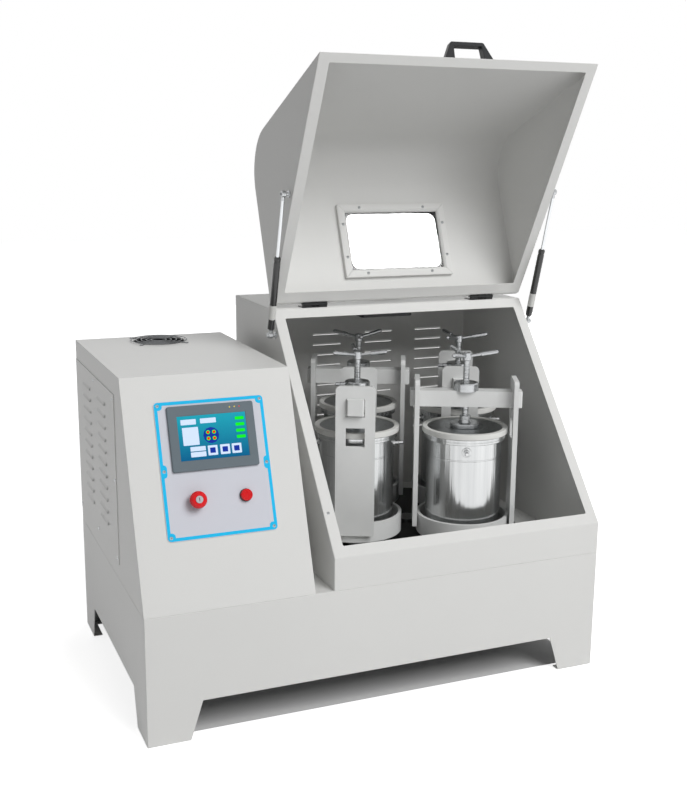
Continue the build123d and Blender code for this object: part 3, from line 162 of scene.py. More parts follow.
finishOf = {
    "housing_paint": powderCoat, "clamp_paint": clampPaint, "plate_print": printedPlate, "screen_housing": slateAbs,
    "black_plastic": blackNylon, "stop_red": stopRed, "lamp_red": lampRed, "jar_steel": polishedSteel,
    "ring_white": acetalWhite, "bright_steel": turnedSteel, "rod_chrome": hardChrome, "strut_black": strutEnamel,
    "disc_black": discBlack, "edging_rubber": edgingRubber, "belt_rubber": beltRubber, "clear_pane": clearPane,
    "cast_housing": castHousing, "gear_steel": gearSteel, "motor_paint": motorEnamel, "zinc": zincPlate,
    "frame_paint": primerGrey, "hinge_black": hingeBlack,
}
for node, shape in nodes.items():
    shape.data.materials.clear()
    shape.data.materials.append(finishOf[slotOf[node]])
print("finishes made:", len(finishOf))


# ---------- making pieces ----------
def newPiece(name, mesh, finish, body, stands=(), smooth=32.0):
    if isinstance(mesh, bmesh.types.BMesh):
        built = bpy.data.meshes.new(name)
        mesh.to_mesh(built)
        mesh.free()
        mesh = built
    mesh.materials.clear()
    mesh.materials.append(finish)
    mesh.shade_smooth()
    mesh.set_sharp_from_angle(angle=math.radians(smooth))
    piece = bpy.data.objects.new(name, mesh)
    bpy.context.scene.collection.objects.link(piece)
    # broad faces keep their own normal, so folds and broken edges shade evenly
    even = piece.modifiers.new("even", "WEIGHTED_NORMAL")
    even.keep_sharp = True
    even.weight = 100
    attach(piece, body)
    if stands:
        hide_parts(*stands)
    return piece


def cadCopy(node, keep=None):
    shell = bmesh.new()
    shell.from_mesh(nodes[node].data)
    bmesh.ops.remove_doubles(shell, verts=shell.verts, dist=1e-5)
    if keep:
        lost = [f for f in shell.faces if not keep(f.calc_center_median())]
        bmesh.ops.delete(shell, geom=lost, context="FACES")
        bmesh.ops.holes_fill(shell, edges=[e for e in shell.edges if e.is_boundary])
        bmesh.ops.recalc_face_normals(shell, faces=shell.faces)
    bmesh.ops.dissolve_limit(shell, angle_limit=math.radians(1), verts=shell.verts, edges=shell.edges)
    return shell


def roundFolds(shell, radius, segments=3, minArea=0.002, minAngle=25.0):
    folds = [e for e in shell.edges if len(e.link_faces) == 2 and min(f.calc_area() for f in e.link_faces) > minArea
             and e.calc_face_angle(0) > math.radians(minAngle)]
    if folds:
        bmesh.ops.bevel(shell, geom=folds, offset=radius, segments=segments, profile=0.5, affect="EDGES",
                        clamp_overlap=True)
    return shell


def turned(profile, sides=48, matrix=None):
    # profile is (radius, height) pairs from the bottom up; ends on the axis are closed there
    shell = bmesh.new()
    rings = []
    for radius, height in profile:
        if radius < 1e-6:
            rings.append([shell.verts.new((0, 0, height))] * sides)
        else:
            rings.append([shell.verts.new((radius * math.cos(2 * math.pi * i / sides),
                                           radius * math.sin(2 * math.pi * i / sides), height)) for i in range(sides)])
    for low, high in zip(rings, rings[1:]):
        for i in range(sides):
            corners = [low[i], low[(i + 1) % sides], high[(i + 1) % sides], high[i]]
            corners = [v for k, v in enumerate(corners) if v not in corners[:k]]
            if len(corners) > 2:
                shell.faces.new(corners)
    bmesh.ops.remove_doubles(shell, verts=shell.verts, dist=1e-7)
    bmesh.ops.recalc_face_normals(shell, faces=shell.faces)
    if matrix:
        bmesh.ops.transform(shell, matrix=matrix, verts=shell.verts)
    return shell


def axisFrame(origin, direction, across=None):
    z = Vector(direction).normalized()
    x = Vector(across) if across else (Vector((0, 0, 1)) if abs(z.z) < 0.9 else Vector((1, 0, 0)))
    x = (x - z * x.dot(z)).normalized()
    turn = Matrix((x, z.cross(x), z)).transposed().to_4x4()
    turn.translation = Vector(origin)
    return turn


def baked(name, holder, tree, values, finish, body, stands=(), smooth=32.0):
    # holder is an object; the tree runs on it once and leaves a plain mesh
    modifier = holder.modifiers.new("grown", "NODES")
    modifier.node_group = tree
    for item in tree.interface.items_tree:
        if item.in_out == "INPUT" and item.name in values:
            modifier[item.identifier] = values[item.name]
    for item in tree.interface.items_tree:
        if item.in_out == "INPUT" and item.name == "Finish":
            modifier[item.identifier] = finish
    bpy.context.view_layer.update()
    graph = bpy.context.evaluated_depsgraph_get()
    mesh = bpy.data.meshes.new_from_object(holder.evaluated_get(graph), depsgraph=graph)
    bpy.data.objects.remove(holder)
    return newPiece(name, mesh, finish, body, stands, smooth)


def newTree(name, inputs):
    tree = bpy.data.node_groups.new(name, "GeometryNodeTree")
    tree.interface.new_socket("Geometry", in_out="INPUT", socket_type="NodeSocketGeometry")
    for label, kind, value in inputs:
        socket = tree.interface.new_socket(label, in_out="INPUT", socket_type="NodeSocket" + kind)
        if value is not None:
            socket.default_value = value
    tree.interface.new_socket("Finish", in_out="INPUT", socket_type="NodeSocketMaterial")
    tree.interface.new_socket("Geometry", in_out="OUTPUT", socket_type="NodeSocketGeometry")
    start = addNode(tree, "NodeGroupInput").outputs
    return tree, start


def closeTree(tree, start, geometry):
    whole = addNode(tree, "GeometryNodeRealizeInstances", None, {"Geometry": geometry}).outputs[0]
    painted = addNode(tree, "GeometryNodeSetMaterial", None, {"Geometry": whole, "Material": start["Finish"]})
    addNode(tree, "NodeGroupOutput", None, {"Geometry": painted.outputs[0]})


def pointHolder(name, spots):
    mesh = bpy.data.meshes.new(name)
    mesh.from_pydata([tuple(p) for p, _ in spots], [], [])
    facing = mesh.attributes.new("facing", "FLOAT_VECTOR", "POINT")
    for i, (_, direction) in enumerate(spots):
        facing.data[i].vector = Vector(direction).normalized()
    holder = bpy.data.objects.new(name, mesh)
    bpy.context.scene.collection.objects.link(holder)
    return holder


def mathNode(tree, operation, a, b=0.0):
    return addNode(tree, "ShaderNodeMath", {"operation": operation}, {0: a, 1: b}).outputs[0]


def onLid(point):
    # a point of the closed lid, carried to where the open lid has it
    turn = math.radians(-mill["lidOpen"])
    y, z = point[1] - mill["hingeY"], point[2] - mill["hingeZ"]
    return Vector((point[0], mill["hingeY"] + y * math.cos(turn) - z * math.sin(turn),
                   mill["hingeZ"] + y * math.sin(turn) + z * math.cos(turn)))


def lidWay(direction):
    return onLid((direction[0], direction[1] + mill["hingeY"], direction[2] + mill["hingeZ"])) - onLid(
        (0, mill["hingeY"], mill["hingeZ"]))


slope = math.atan2(mill["boxTop"] - mill["cabinetTop"], mill["boxSetback"])
faceUp = Vector((0, math.cos(slope), math.sin(slope)))
faceOut = Vector((0, -math.sin(slope), math.cos(slope)))


def onFace(across, up, lift=0.0):
    # millimetres on the control box's sloping face
    start = Vector((mill["left"], mill["front"], mill["cabinetTop"]))
    return start + Vector((across, 0, 0)) / 1000 + faceUp * up / 1000 + faceOut * lift / 1000


def faceFrame(across, up, lift=0.0):
    return axisFrame(onFace(across, up, lift), faceOut, (1, 0, 0))


# ---------- sheet metal: the CAD's sheets with their folds rounded ----------
sheetWork = {"foldRadius": 0.0022, "smallRadius": 0.0010}
for node in ("base_cabinet", "mill_housing", "control_box", "lid_hood"):
    newPiece(node + "_folded", roundFolds(cadCopy(node), sheetWork["foldRadius"], 3, 0.004), powderCoat,
             bodyOf[node], [node])
newPiece("side_panel_pressed", cadCopy("control_side_panel"), powderCoat, bodyOf["control_side_panel"],
         ["control_side_panel"])
print("sheet metal done")

# ---------- screws: pan heads with a cross recess, set out on points ----------
screwTree, start = newTree("panHeads", [("Head Radius", "Float", 0.004), ("Head Height", "Float", 0.0022),
                                        ("Recess", "Float", 0.0008), ("Seed", "Int", 3)])
ball = addNode(screwTree, "GeometryNodeMeshUVSphere", None, {"Segments": 24, "Rings": 12,
               "Radius": start["Head Radius"]}).outputs["Mesh"]
flat = mathNode(screwTree, "DIVIDE", start["Head Height"], start["Head Radius"])
squeeze = addNode(screwTree, "ShaderNodeCombineXYZ", None, {"X": 1.0, "Y": 1.0, "Z": flat}).outputs[0]
dome = addNode(screwTree, "GeometryNodeTransform", None, {"Geometry": ball, "Scale": squeeze}).outputs[0]
armLong = mathNode(screwTree, "MULTIPLY", start["Head Radius"], 1.25)
crossArms = []
for longWay in (0, 1):
    size = addNode(screwTree, "ShaderNodeCombineXYZ", None, {longWay: armLong, 1 - longWay: start["Recess"],
                   2: mathNode(screwTree, "MULTIPLY", start["Head Height"], 1.2)}).outputs[0]
    block = addNode(screwTree, "GeometryNodeMeshCube", None, {"Size": size}).outputs["Mesh"]
    up = addNode(screwTree, "ShaderNodeCombineXYZ", None, {"Z": start["Head Height"]}).outputs[0]
    crossArms.append(addNode(screwTree, "GeometryNodeTransform", None, {"Geometry": block,
                             "Translation": up}).outputs[0])
cut = addNode(screwTree, "GeometryNodeMeshBoolean", {"operation": "DIFFERENCE"}, {0: dome})
for block in crossArms:
    screwTree.links.new(block, cut.inputs[1])
facing = addNode(screwTree, "GeometryNodeInputNamedAttribute", {"data_type": "FLOAT_VECTOR"}, {"Name": "facing"})
aim = addNode(screwTree, "FunctionNodeAlignRotationToVector", {"axis": "Z"}, {"Vector": facing.outputs[0]}).outputs[0]
spin = addNode(screwTree, "FunctionNodeRandomValue", {"data_type": "FLOAT"}, {2: 0.0, 3: 1.5, "Seed": start["Seed"]})
twist = addNode(screwTree, "ShaderNodeCombineXYZ", None, {"Z": spin.outputs[1]}).outputs[0]
aim = addNode(screwTree, "FunctionNodeRotateRotation", {"rotation_space": "LOCAL"}, {"Rotation": aim,
              "Rotate By": twist}).outputs[0]
heads = addNode(screwTree, "GeometryNodeInstanceOnPoints", None, {"Points": start["Geometry"],
                "Instance": cut.outputs[0], "Rotation": aim}).outputs[0]
closeTree(screwTree, start, heads)


def screwHeads(name, spots, body, finish=zincPlate, radius=0.004, height=0.0024, seed=3, stands=()):
    return baked(name, pointHolder(name, spots), screwTree, {"Head Radius": radius, "Head Height": height,
                 "Recess": radius * 0.22, "Seed": seed}, finish, body, stands)


panel = {"across": (-0.1175, 0.3515), "setback": 0.247, "length": 0.495, "low": 0.040, "height": 0.413, "inset": 0.013}
panelFace = mill["left"] - 0.0015
spots = []
for dy in (panel["inset"], panel["length"] / 2, panel["length"] - panel["inset"]):
    for dz in (panel["inset"], panel["height"] / 2, panel["height"] - panel["inset"]):
        if dy != panel["length"] / 2 or dz != panel["height"] / 2:
            spots.append(((panelFace, mill["front"] + panel["setback"] + dy, mill["cabinetTop"] + panel["low"] + dz),
                          (-1, 0, 0)))
plate = {"left": 71.0, "raise": 159.0, "width": 260.0, "length": 316.0, "screwInset": 9.0, "thick": 2.0}
plateScrews = [(plate["left"] + x, plate["raise"] + y) for x in (plate["screwInset"], plate["width"] - plate["screwInset"])
               for y in (plate["screwInset"], plate["length"] / 2, plate["length"] - plate["screwInset"])]
spots += [(onFace(u, v, plate["thick"]), faceOut) for u, v in plateScrews]
rimOut = Vector((0, -math.sin(math.atan2(0.525, 0.431)), math.cos(math.atan2(0.525, 0.431))))
rimAlong = Vector((0, math.cos(math.atan2(0.525, 0.431)), math.sin(math.atan2(0.525, 0.431))))
rimStart = Vector((mill["millLeft"] + 0.012, mill["front"], mill["rimLow"])) + rimAlong * 0.113
spots.append((rimStart, rimOut))
screwHeads("housing_screw_heads", spots, "cabinet", stands=["housing_fasteners"])
print("screws done:", len(spots))

# ---------- struts, their ball studs and end sockets ----------
strut = {"stand": 0.015, "lowY": 0.0295, "lowZ": 0.853, "tubeRadius": 0.009, "rodRadius": 0.004, "neck": 0.016,
         "tubeLength": 0.196, "labelStart": 0.030, "labelLength": 0.038, "studRadius": 0.004, "overlap": 0.062}
lidStud = (-0.1588, 0.6943)
strutSides = ((mill["millLeft"] - strut["stand"], mill["millLeft"], -1), (mill["right"] + strut["stand"],
              mill["right"], 1))


def joined(shells):
    whole = bmesh.new()
    for shell in shells:
        part = bpy.data.meshes.new("part")
        shell.to_mesh(part)
        shell.free()
        whole.from_mesh(part)
        bpy.data.meshes.remove(part)
    return whole


socketProfile = [(0.0042, -0.006), (0.0062, -0.006), (0.008, -0.0045), (0.008, 0.0045), (0.0062, 0.006),
                 (0.0042, 0.006), (0.0042, -0.006)]
tubes, labels, lowEnds, rods, highEnds, studs, lidStuds = [], [], [], [], [], [], []
for strutX, wallX, side in strutSides:
    low = Vector((strutX, strut["lowY"], strut["lowZ"]))
    high = onLid((strutX, lidStud[0], lidStud[1]))
    run = (high - low).length
    along = axisFrame(low, high - low)
    r, neck, end = strut["tubeRadius"], strut["neck"], strut["neck"] + strut["tubeLength"]
    tubes.append(turned([(0.0042, neck), (r - 0.003, neck), (r, neck + 0.003), (r, end - 0.016), (r - 0.0008, end - 0.014),
                         (r - 0.0008, end - 0.012), (r, end - 0.010), (r, end - 0.003), (r - 0.0025, end), (0.0042, end)],
                        40, along))
    a = neck + strut["labelStart"]
    labels.append(turned([(r, a), (r + 0.0002, a), (r + 0.0002, a + strut["labelLength"]), (r, a + strut["labelLength"])],
                         40, along))
    lowEnds.append(turned([(0.0005, 0.0058), (0.005, 0.0058), (0.005, neck - 0.003), (0.0062, neck - 0.002),
                           (0.0062, neck), (0.0005, neck)], 24, along))
    lowEnds.append(turned(socketProfile, 32, axisFrame(low, (1, 0, 0))))
    rodStart = end - strut["overlap"]
    rods.append(turned([(0, rodStart), (0.0073, rodStart), (0.0073, rodStart + 0.008), (0.004, rodStart + 0.008),
                        (0.004, run - neck), (0, run - neck)], 24, along))
    highEnds.append(turned([(0.0005, run - neck), (0.0055, run - neck), (0.0055, run - neck + 0.004),
                            (0.0048, run - neck + 0.006), (0.0048, run - 0.0058), (0.0005, run - 0.0058)], 24, along))
    highEnds.append(turned(socketProfile, 32, axisFrame(high, (1, 0, 0))))
    studProfile = [(0, 0), (0.009, 0), (0.009, 0.0022), (0.0082, 0.003), (0.0045, 0.0034), (0.004, 0.005)]
    studs.append(turned(studProfile + [(0.004, 0.0212), (0.0058, 0.0216), (0.0058, 0.0236), (0.0046, 0.0242),
                                       (0, 0.0242)], 32, axisFrame((wallX, low.y, low.z), (side, 0, 0))))
    lidStuds.append(turned(studProfile + [(0.004, 0.0085), (0, 0.0087)], 32,
                           axisFrame((wallX, high.y, high.z), (side, 0, 0))))
newPiece("strut_tubes_enamelled", joined(tubes), strutEnamel, "strut_tubes", ["strut_cylinders"])
newPiece("strut_labels", joined(labels), labelWhite, "strut_tubes")
newPiece("strut_low_sockets", joined(lowEnds), zincPlate, "strut_tubes")
newPiece("strut_rods_chromed", joined(rods), hardChrome, "strut_piston_rods", ["strut_rods"])
newPiece("strut_high_sockets", joined(highEnds), zincPlate, "strut_piston_rods")
newPiece("housing_studs", joined(studs), zincPlate, "cabinet")

# ---------- window: mitred frame, its screws and the lid's studs -------
window = {"x": mill["millX"] + 0.011, "length": 0.316, "width": 0.202, "border": 0.022, "setback": 0.062,
          "thick": 0.013, "bevel": 0.0045, "mitreGap": 0.0004, "screwRadius": 0.004}
windowY = mill["rimTopY"] - window["setback"] - window["width"] / 2
frameTop = mill["lidTop"] - 0.002
lx, ly, border = window["length"] / 2, window["width"] / 2, window["border"]
bars = []
for endA, endB in (((-lx, -ly), (lx, -ly)), ((lx, -ly), (lx, ly)), ((lx, ly), (-lx, ly)), ((-lx, ly), (-lx, -ly))):
    a, b = Vector(endA), Vector(endB)
    way = (b - a).normalized()
    inward = Vector((-way.y, way.x))
    shell = bmesh.new()
    section = [(0.0, 0.0), (0.0, -window["thick"] + 0.0015), (window["bevel"], -window["thick"]),
               (border - 0.006, -window["thick"]), (border - 0.0015, -window["thick"] + 0.0035),
               (border, -window["thick"] + 0.006), (border, 0.0)]
    ends = []
    for corner, sign in ((a, 1), (b, -1)):
        ring = []
        for inset, drop in section:
            spot = corner + inward * inset + way * sign * (inset + window["mitreGap"])
            ring.append(shell.verts.new(onLid((window["x"] + spot.x, windowY + spot.y, frameTop + drop))))
        ends.append(ring)
    count = len(section)
    for i in range(count):
        shell.faces.new([ends[0][i], ends[0][(i + 1) % count], ends[1][(i + 1) % count], ends[1][i]])
    shell.faces.new(ends[0][::-1])
    shell.faces.new(ends[1])
    bmesh.ops.recalc_face_normals(shell, faces=shell.faces)
    bars.append(shell)
newPiece("window_frame_mitred", joined(bars), powderCoat, "lid", ["window_frame"], smooth=20)
spots = []
for sx, sy in ((-1, -1), (1, -1), (-1, 1), (1, 1)):
    for px, py in ((window["length"] * 0.3, window["width"] / 2 - 0.010), (window["length"] / 2 - 0.010,
                                                                          window["width"] * 0.225)):
        spots.append((onLid((window["x"] + sx * px, windowY + sy * py, frameTop - window["thick"])), lidWay((0, 0, -1))))
screwHeads("window_screw_heads", spots, "lid", radius=window["screwRadius"], seed=8, stands=["lid_fasteners"])
newPiece("lid_studs", joined(lidStuds), zincPlate, "lid")

# ---------- lid handle ---------------------
handleShell = cadCopy("lid_handle")
bmesh.ops.bevel(handleShell, geom=[e for e in handleShell.edges if e.calc_face_angle(0) > 0.6], offset=0.0016, segments=3,
                profile=0.5, affect="EDGES", clamp_overlap=True)
newPiece("lid_handle_moulded", handleShell, blackNylon, "lid", ["lid_handle"])
print("lid dressed")

# ---------- welds: a thin bead with the ripple of short stitches along the lid's inner corners ----------
weldTree, start = newTree("weldBead", [("Bead Radius", "Float", 0.0012), ("Ripple", "Float", 0.0007),
                                       ("Step", "Float", 0.003), ("Seed", "Int", 5)])
line = addNode(weldTree, "GeometryNodeMeshToCurve", None, {"Mesh": start["Geometry"]}).outputs[0]
stitched = addNode(weldTree, "GeometryNodeResampleCurve", {"mode": "LENGTH"}, {"Curve": line, "Length": start["Step"]})
swell = addNode(weldTree, "FunctionNodeRandomValue", {"data_type": "FLOAT"},
                {2: mathNode(weldTree, "SUBTRACT", start["Bead Radius"], start["Ripple"]),
                 3: mathNode(weldTree, "ADD", start["Bead Radius"], start["Ripple"]), "Seed": start["Seed"]})
swollen = addNode(weldTree, "GeometryNodeSetCurveRadius", None, {"Curve": stitched.outputs[0],
                  "Radius": swell.outputs[1]}).outputs[0]
roundBead = addNode(weldTree, "GeometryNodeCurvePrimitiveCircle", None, {"Resolution": 8, "Radius": 1.0}).outputs[0]
beadMesh = addNode(weldTree, "GeometryNodeCurveToMesh", None, {"Curve": swollen, "Profile Curve": roundBead,
                   "Fill Caps": True})
if "Scale" in beadMesh.inputs:
    weldTree.links.new(swell.outputs[1], beadMesh.inputs["Scale"])
closeTree(weldTree, start, beadMesh.outputs[0])


def lineHolder(name, chains):
    mesh = bpy.data.meshes.new(name)
    points, edges = [], []
    for chain in chains:
        edges += [(len(points) + i, len(points) + i + 1) for i in range(len(chain) - 1)]
        points += [tuple(p) for p in chain]
    mesh.from_pydata(points, edges, [])
    holder = bpy.data.objects.new(name, mesh)
    bpy.context.scene.collection.objects.link(holder)
    return holder


lidFront, lidLow, lidHigh = mill["front"] + 0.002, mill["rimLow"] + 0.030, mill["lidTop"] - 0.002
corner = {"radius": 0.118, "steps": 12}
chains = []
for x in (mill["millLeft"] + 0.0022, mill["right"] - 0.0022):
    chain = [onLid((x, lidFront, lidLow))]
    for i in range(corner["steps"] + 1):
        turn = math.pi - i * math.pi / 2 / corner["steps"]
        chain.append(onLid((x, lidFront + corner["radius"] + corner["radius"] * math.cos(turn),
                            lidHigh - corner["radius"] + corner["radius"] * math.sin(turn))))
    chain.append(onLid((x, mill["rimTopY"] - 0.03, lidHigh)))
    chains.append(chain)
baked("lid_weld_beads", lineHolder("welds", chains), weldTree, {"Bead Radius": 0.0013, "Ripple": 0.0005,
      "Step": 0.004, "Seed": 5}, powderCoat, "lid")


# ---------- flat pieces: stacked outlines skinned into one shell ----------
def roundedOutline(width, height, radius, steps=6, middle=(0.0, 0.0)):
    radius = max(radius, 1e-5)
    points = []
    for cx, cy, turn in ((1, 1, 0), (-1, 1, 90), (-1, -1, 180), (1, -1, 270)):
        for i in range(steps + 1):
            a = math.radians(turn + 90 * i / steps)
            points.append((middle[0] + cx * (width / 2 - radius) + radius * math.cos(a),
                           middle[1] + cy * (height / 2 - radius) + radius * math.sin(a)))
    return points


def skinned(rings, matrix, closed=False):
    # rings are (outline, height) from the bottom up; closed joins the last ring to the first, else both are capped
    shell = bmesh.new()
    loops = [[shell.verts.new(matrix @ Vector((x, y, height))) for x, y in outline] for outline, height in rings]
    count = len(loops[0])
    pairs = list(zip(loops, loops[1:])) + ([(loops[-1], loops[0])] if closed else [])
    for low, high in pairs:
        for i in range(count):
            shell.faces.new([low[i], low[(i + 1) % count], high[(i + 1) % count], high[i]])
    if not closed:
        shell.faces.new(loops[0][::-1])
        shell.faces.new(loops[-1])
    bmesh.ops.recalc_face_normals(shell, faces=shell.faces)
    return shell


def softened(node, offset, segments=2, minAngle=30.0, name=None, finish=None, keep=None):
    # a CAD piece with its edges broken
    shell = cadCopy(node, keep)
    edges = [e for e in shell.edges if len(e.link_faces) == 2 and e.calc_face_angle(0) > math.radians(minAngle)
             and min(f.calc_area() for f in e.link_faces) > offset * offset * 4]
    bmesh.ops.bevel(shell, geom=edges, offset=offset, segments=segments, profile=0.5, affect="EDGES",
                    clamp_overlap=True)
    return newPiece(name or node + "_finished", shell, finish or finishOf[slotOf[node]], bodyOf[node],
                    [node])


# ---------- control plate, screen, stop button and lamp ----------
plate = {"left": 0.071, "raise": 0.159, "width": 0.260, "length": 0.316, "top": 0.002, "corner": 0.010,
         "border": 0.0075, "patch": 0.0185, "lobe": 0.0075}
plateMiddle = faceFrame(plate["left"] * 1000 + plate["width"] * 500, plate["raise"] * 1000 + plate["length"] * 500)
softened("control_plate", 0.0004)
edge, top = plate["border"], plate["top"]
prints = [skinned([(roundedOutline(plate["width"] - 0.002, plate["length"] - 0.002, 0.009), top),
                   (roundedOutline(plate["width"] - 0.002, plate["length"] - 0.002, 0.009), top + 0.00012),
                   (roundedOutline(plate["width"] - 0.002 - 2 * edge, plate["length"] - 0.002 - 2 * edge, 0.006),
                    top + 0.00012),
                   (roundedOutline(plate["width"] - 0.002 - 2 * edge, plate["length"] - 0.002 - 2 * edge, 0.006), top)],
                  plateMiddle, closed=True)]
for sx in (-1, 1):
    for sy in (-1, 1):
        middle = (sx * (plate["width"] / 2 - 0.001 - plate["patch"] / 2), sy * (plate["length"] / 2 - 0.001
                  - plate["patch"] / 2))
        prints.append(skinned([(roundedOutline(plate["patch"], plate["patch"], 0.0085, 6, middle), top + h)
                               for h in (0.0, 0.00014)], plateMiddle))
for side in (-1, 1):
    x = side * (plate["width"] / 2 - 0.001 - plate["border"])
    prints.append(skinned([(roundedOutline(2 * plate["lobe"], 4 * plate["lobe"], plate["lobe"], 6, (x, 0.0)), top + h)
                           for h in (0.0, 0.00016)], plateMiddle))
newPiece("plate_print_blue", joined(prints), printedBlue, "cabinet")

screen = {"across": 201, "up": 387, "width": 0.204, "height": 0.150, "glassWidth": 0.162, "glassHeight": 0.102,
          "low": 0.002, "high": 0.009, "glassLift": 0.0078, "corner": 0.005, "chamfer": 0.0022}
screenMiddle = faceFrame(screen["across"], screen["up"])
w, h, c = screen["width"], screen["height"], screen["corner"]
gw, gh = screen["glassWidth"], screen["glassHeight"]
bezelRings = [(roundedOutline(w, h, c), screen["low"]), (roundedOutline(w, h, c), screen["high"] - 0.0022)]
for i in range(1, 5):
    a = math.radians(90 * i / 4)
    inset = screen["chamfer"] * (1 - math.cos(a))
    bezelRings.append((roundedOutline(w - 2 * inset, h - 2 * inset, c - inset), screen["high"] - 0.0022
                       + 0.0022 * math.sin(a)))
bezelRings += [(roundedOutline(gw + 0.0030, gh + 0.0030, 0.0022), screen["high"]),
               (roundedOutline(gw + 0.0018, gh + 0.0018, 0.0016), screen["high"] - 0.0003),
               (roundedOutline(gw, gh, 0.0008), screen["glassLift"])]
newPiece("screen_bezel", skinned(bezelRings, screenMiddle), slateAbs, "cabinet", smooth=25)


def glowing(name, colour, strength=0.28, second=None):
    # printed light behind glass: an even glow, or a run from one colour to the second up the sloping face
    finish = makeFinish(name, colour, 0.3, glow=strength, Specular_IOR_Level=0.15)
    if second:
        tree = finish.node_tree
        shader = tree.nodes["Principled BSDF"]
        place = addNode(tree, "ShaderNodeTexCoord").outputs["Object"]
        height = addNode(tree, "ShaderNodeVectorMath", {"operation": "DOT_PRODUCT"}, {0: place, 1: tuple(faceUp)})
        low = faceUp.dot(onFace(0, screen["up"] - gh * 500))
        run = addNode(tree, "ShaderNodeMapRange", None, {"Value": height.outputs["Value"], "From Min": low,
                      "From Max": low + gh}).outputs["Result"]
        mix = addNode(tree, "ShaderNodeMix", {"data_type": "RGBA"}, {"Factor": run})
        mix.inputs[6].default_value = linear(colour)
        mix.inputs[7].default_value = linear(second)
        for socket in ("Base Color", "Emission Color"):
            tree.links.new(mix.outputs[2], shader.inputs[socket])
    return finish


screenField = glowing("screenField", "#005A86", 0.22, "#1C9AAE")
litColours = {"pale": glowing("litPale", "#C8D8EE"), "green": glowing("litGreen", "#10E020"),
              "red": glowing("litRed", "#E01818"), "blue": glowing("litBlue", "#10309A", 0.15),
              "yellow": glowing("litYellow", "#E8D030")}
newPiece("screen_glass", skinned([(roundedOutline(gw - 0.0002, gh - 0.0002, 0.0006), screen["glassLift"] + h)
                                  for h in (0.0, 0.0001)], screenMiddle), screenField, "cabinet")
# plain figures of an idle screen: fields, a round dial with four jars, and keys; (u, v) from its upper left
tiles = {"pale": [(0.05, 0.08, 0.27, 0.20), (0.33, 0.08, 0.56, 0.19), (0.06, 0.26, 0.29, 0.66), (0.15, 0.70, 0.37, 0.80),
                  (0.15, 0.82, 0.37, 0.93), (0.40, 0.70, 0.54, 0.92), (0.58, 0.70, 0.72, 0.92), (0.75, 0.70, 0.89, 0.92)],
         "green": [(0.84, 0.10 + 0.14 * i, 0.97, 0.17 + 0.14 * i) for i in range(4)],
         "blue": [(0.43, 0.75, 0.51, 0.87), (0.61, 0.75, 0.69, 0.87), (0.78, 0.75, 0.86, 0.87)]}
dial = {"u": 0.47, "v": 0.47, "radius": 0.115, "ring": 0.030, "jar": 0.021, "reach": 0.062}


def screenTile(box, lift, radius=0.0012):
    u0, v0, u1, v1 = box
    middle = (((u0 + u1) / 2 - 0.5) * gw, (0.5 - (v0 + v1) / 2) * gh)
    size = ((u1 - u0) * gw, (v1 - v0) * gh)
    return skinned([(roundedOutline(size[0], size[1], radius, 3, middle), screen["glassLift"] + h)
                    for h in (lift, lift + 0.0001)], screenMiddle)


def screenDisc(u, v, radius, lift):
    return screenTile((u - radius, v - radius * gw / gh, u + radius, v + radius * gw / gh), lift, radius * gw)


shown = {colour: [screenTile(box, 0.00012 if colour != "blue" else 0.00024) for box in boxes]
         for colour, boxes in tiles.items()}
shown["blue"].append(screenDisc(dial["u"], dial["v"], dial["radius"], 0.00012))
shown["red"] = []
for i in range(4):
    a = math.radians(45 + 90 * i)
    u = dial["u"] + dial["reach"] * math.cos(a)
    v = dial["v"] + dial["reach"] * math.sin(a) * gw / gh
    shown["green"].append(screenDisc(u, v, dial["ring"], 0.00024))
    shown["red"].append(screenDisc(u, v, dial["jar"], 0.00036))
ledLift = screen["high"] - screen["glassLift"] - 0.00005
shown["yellow"] = [screenDisc(u, -0.13, 0.009, ledLift) for u in (0.78, 0.85)]
shown["red"].append(screenDisc(0.92, -0.13, 0.009, ledLift))
for colour, shells in shown.items():
    newPiece("screen_figures_" + colour, joined(shells), litColours[colour], "cabinet")
softened("touch_screen", 0.0003, 1, keep=lambda spot: faceOut.dot(spot - onFace(0, 0)) < 0.0021)

stop = {"across": 146, "up": 246, "capStart": 0.0173, "cap": 0.020, "capHeight": 0.015, "bore": 0.00858,
        "collar": 0.0145, "collarHeight": 0.009, "stem": 0.008}
stopMiddle = faceFrame(stop["across"], stop["up"])
z, r, b = stop["capStart"], stop["cap"], stop["bore"]
capProfile = [(b, z + 0.0142), (b, z + 0.007), (0.0001, z + 0.007), (0.0001, z), (r - 0.0035, z), (r - 0.0012, z + 0.0010),
              (r - 0.0002, z + 0.0026), (r, z + 0.0045)]
for i in range(1, 9):
    a = math.radians(78 * i / 8)
    capProfile.append((r - 0.0085 + 0.0085 * math.cos(a), z + 0.0045 + 0.0100 * math.sin(a)))
capProfile += [(b + 0.0012, z + 0.0149), (b, z + 0.0142)]
newPiece("stop_cap", turned(capProfile, 64, stopMiddle), stopRed, "stop_mushroom", smooth=40)
softened("stop_button", 0.0003, 1, keep=lambda spot: faceOut.dot(spot - onFace(0, 0)) < stop["capStart"] - 0.0002)
softened("stop_lock", 0.0004, 2)
softened("stop_switch", 0.0008, 3)

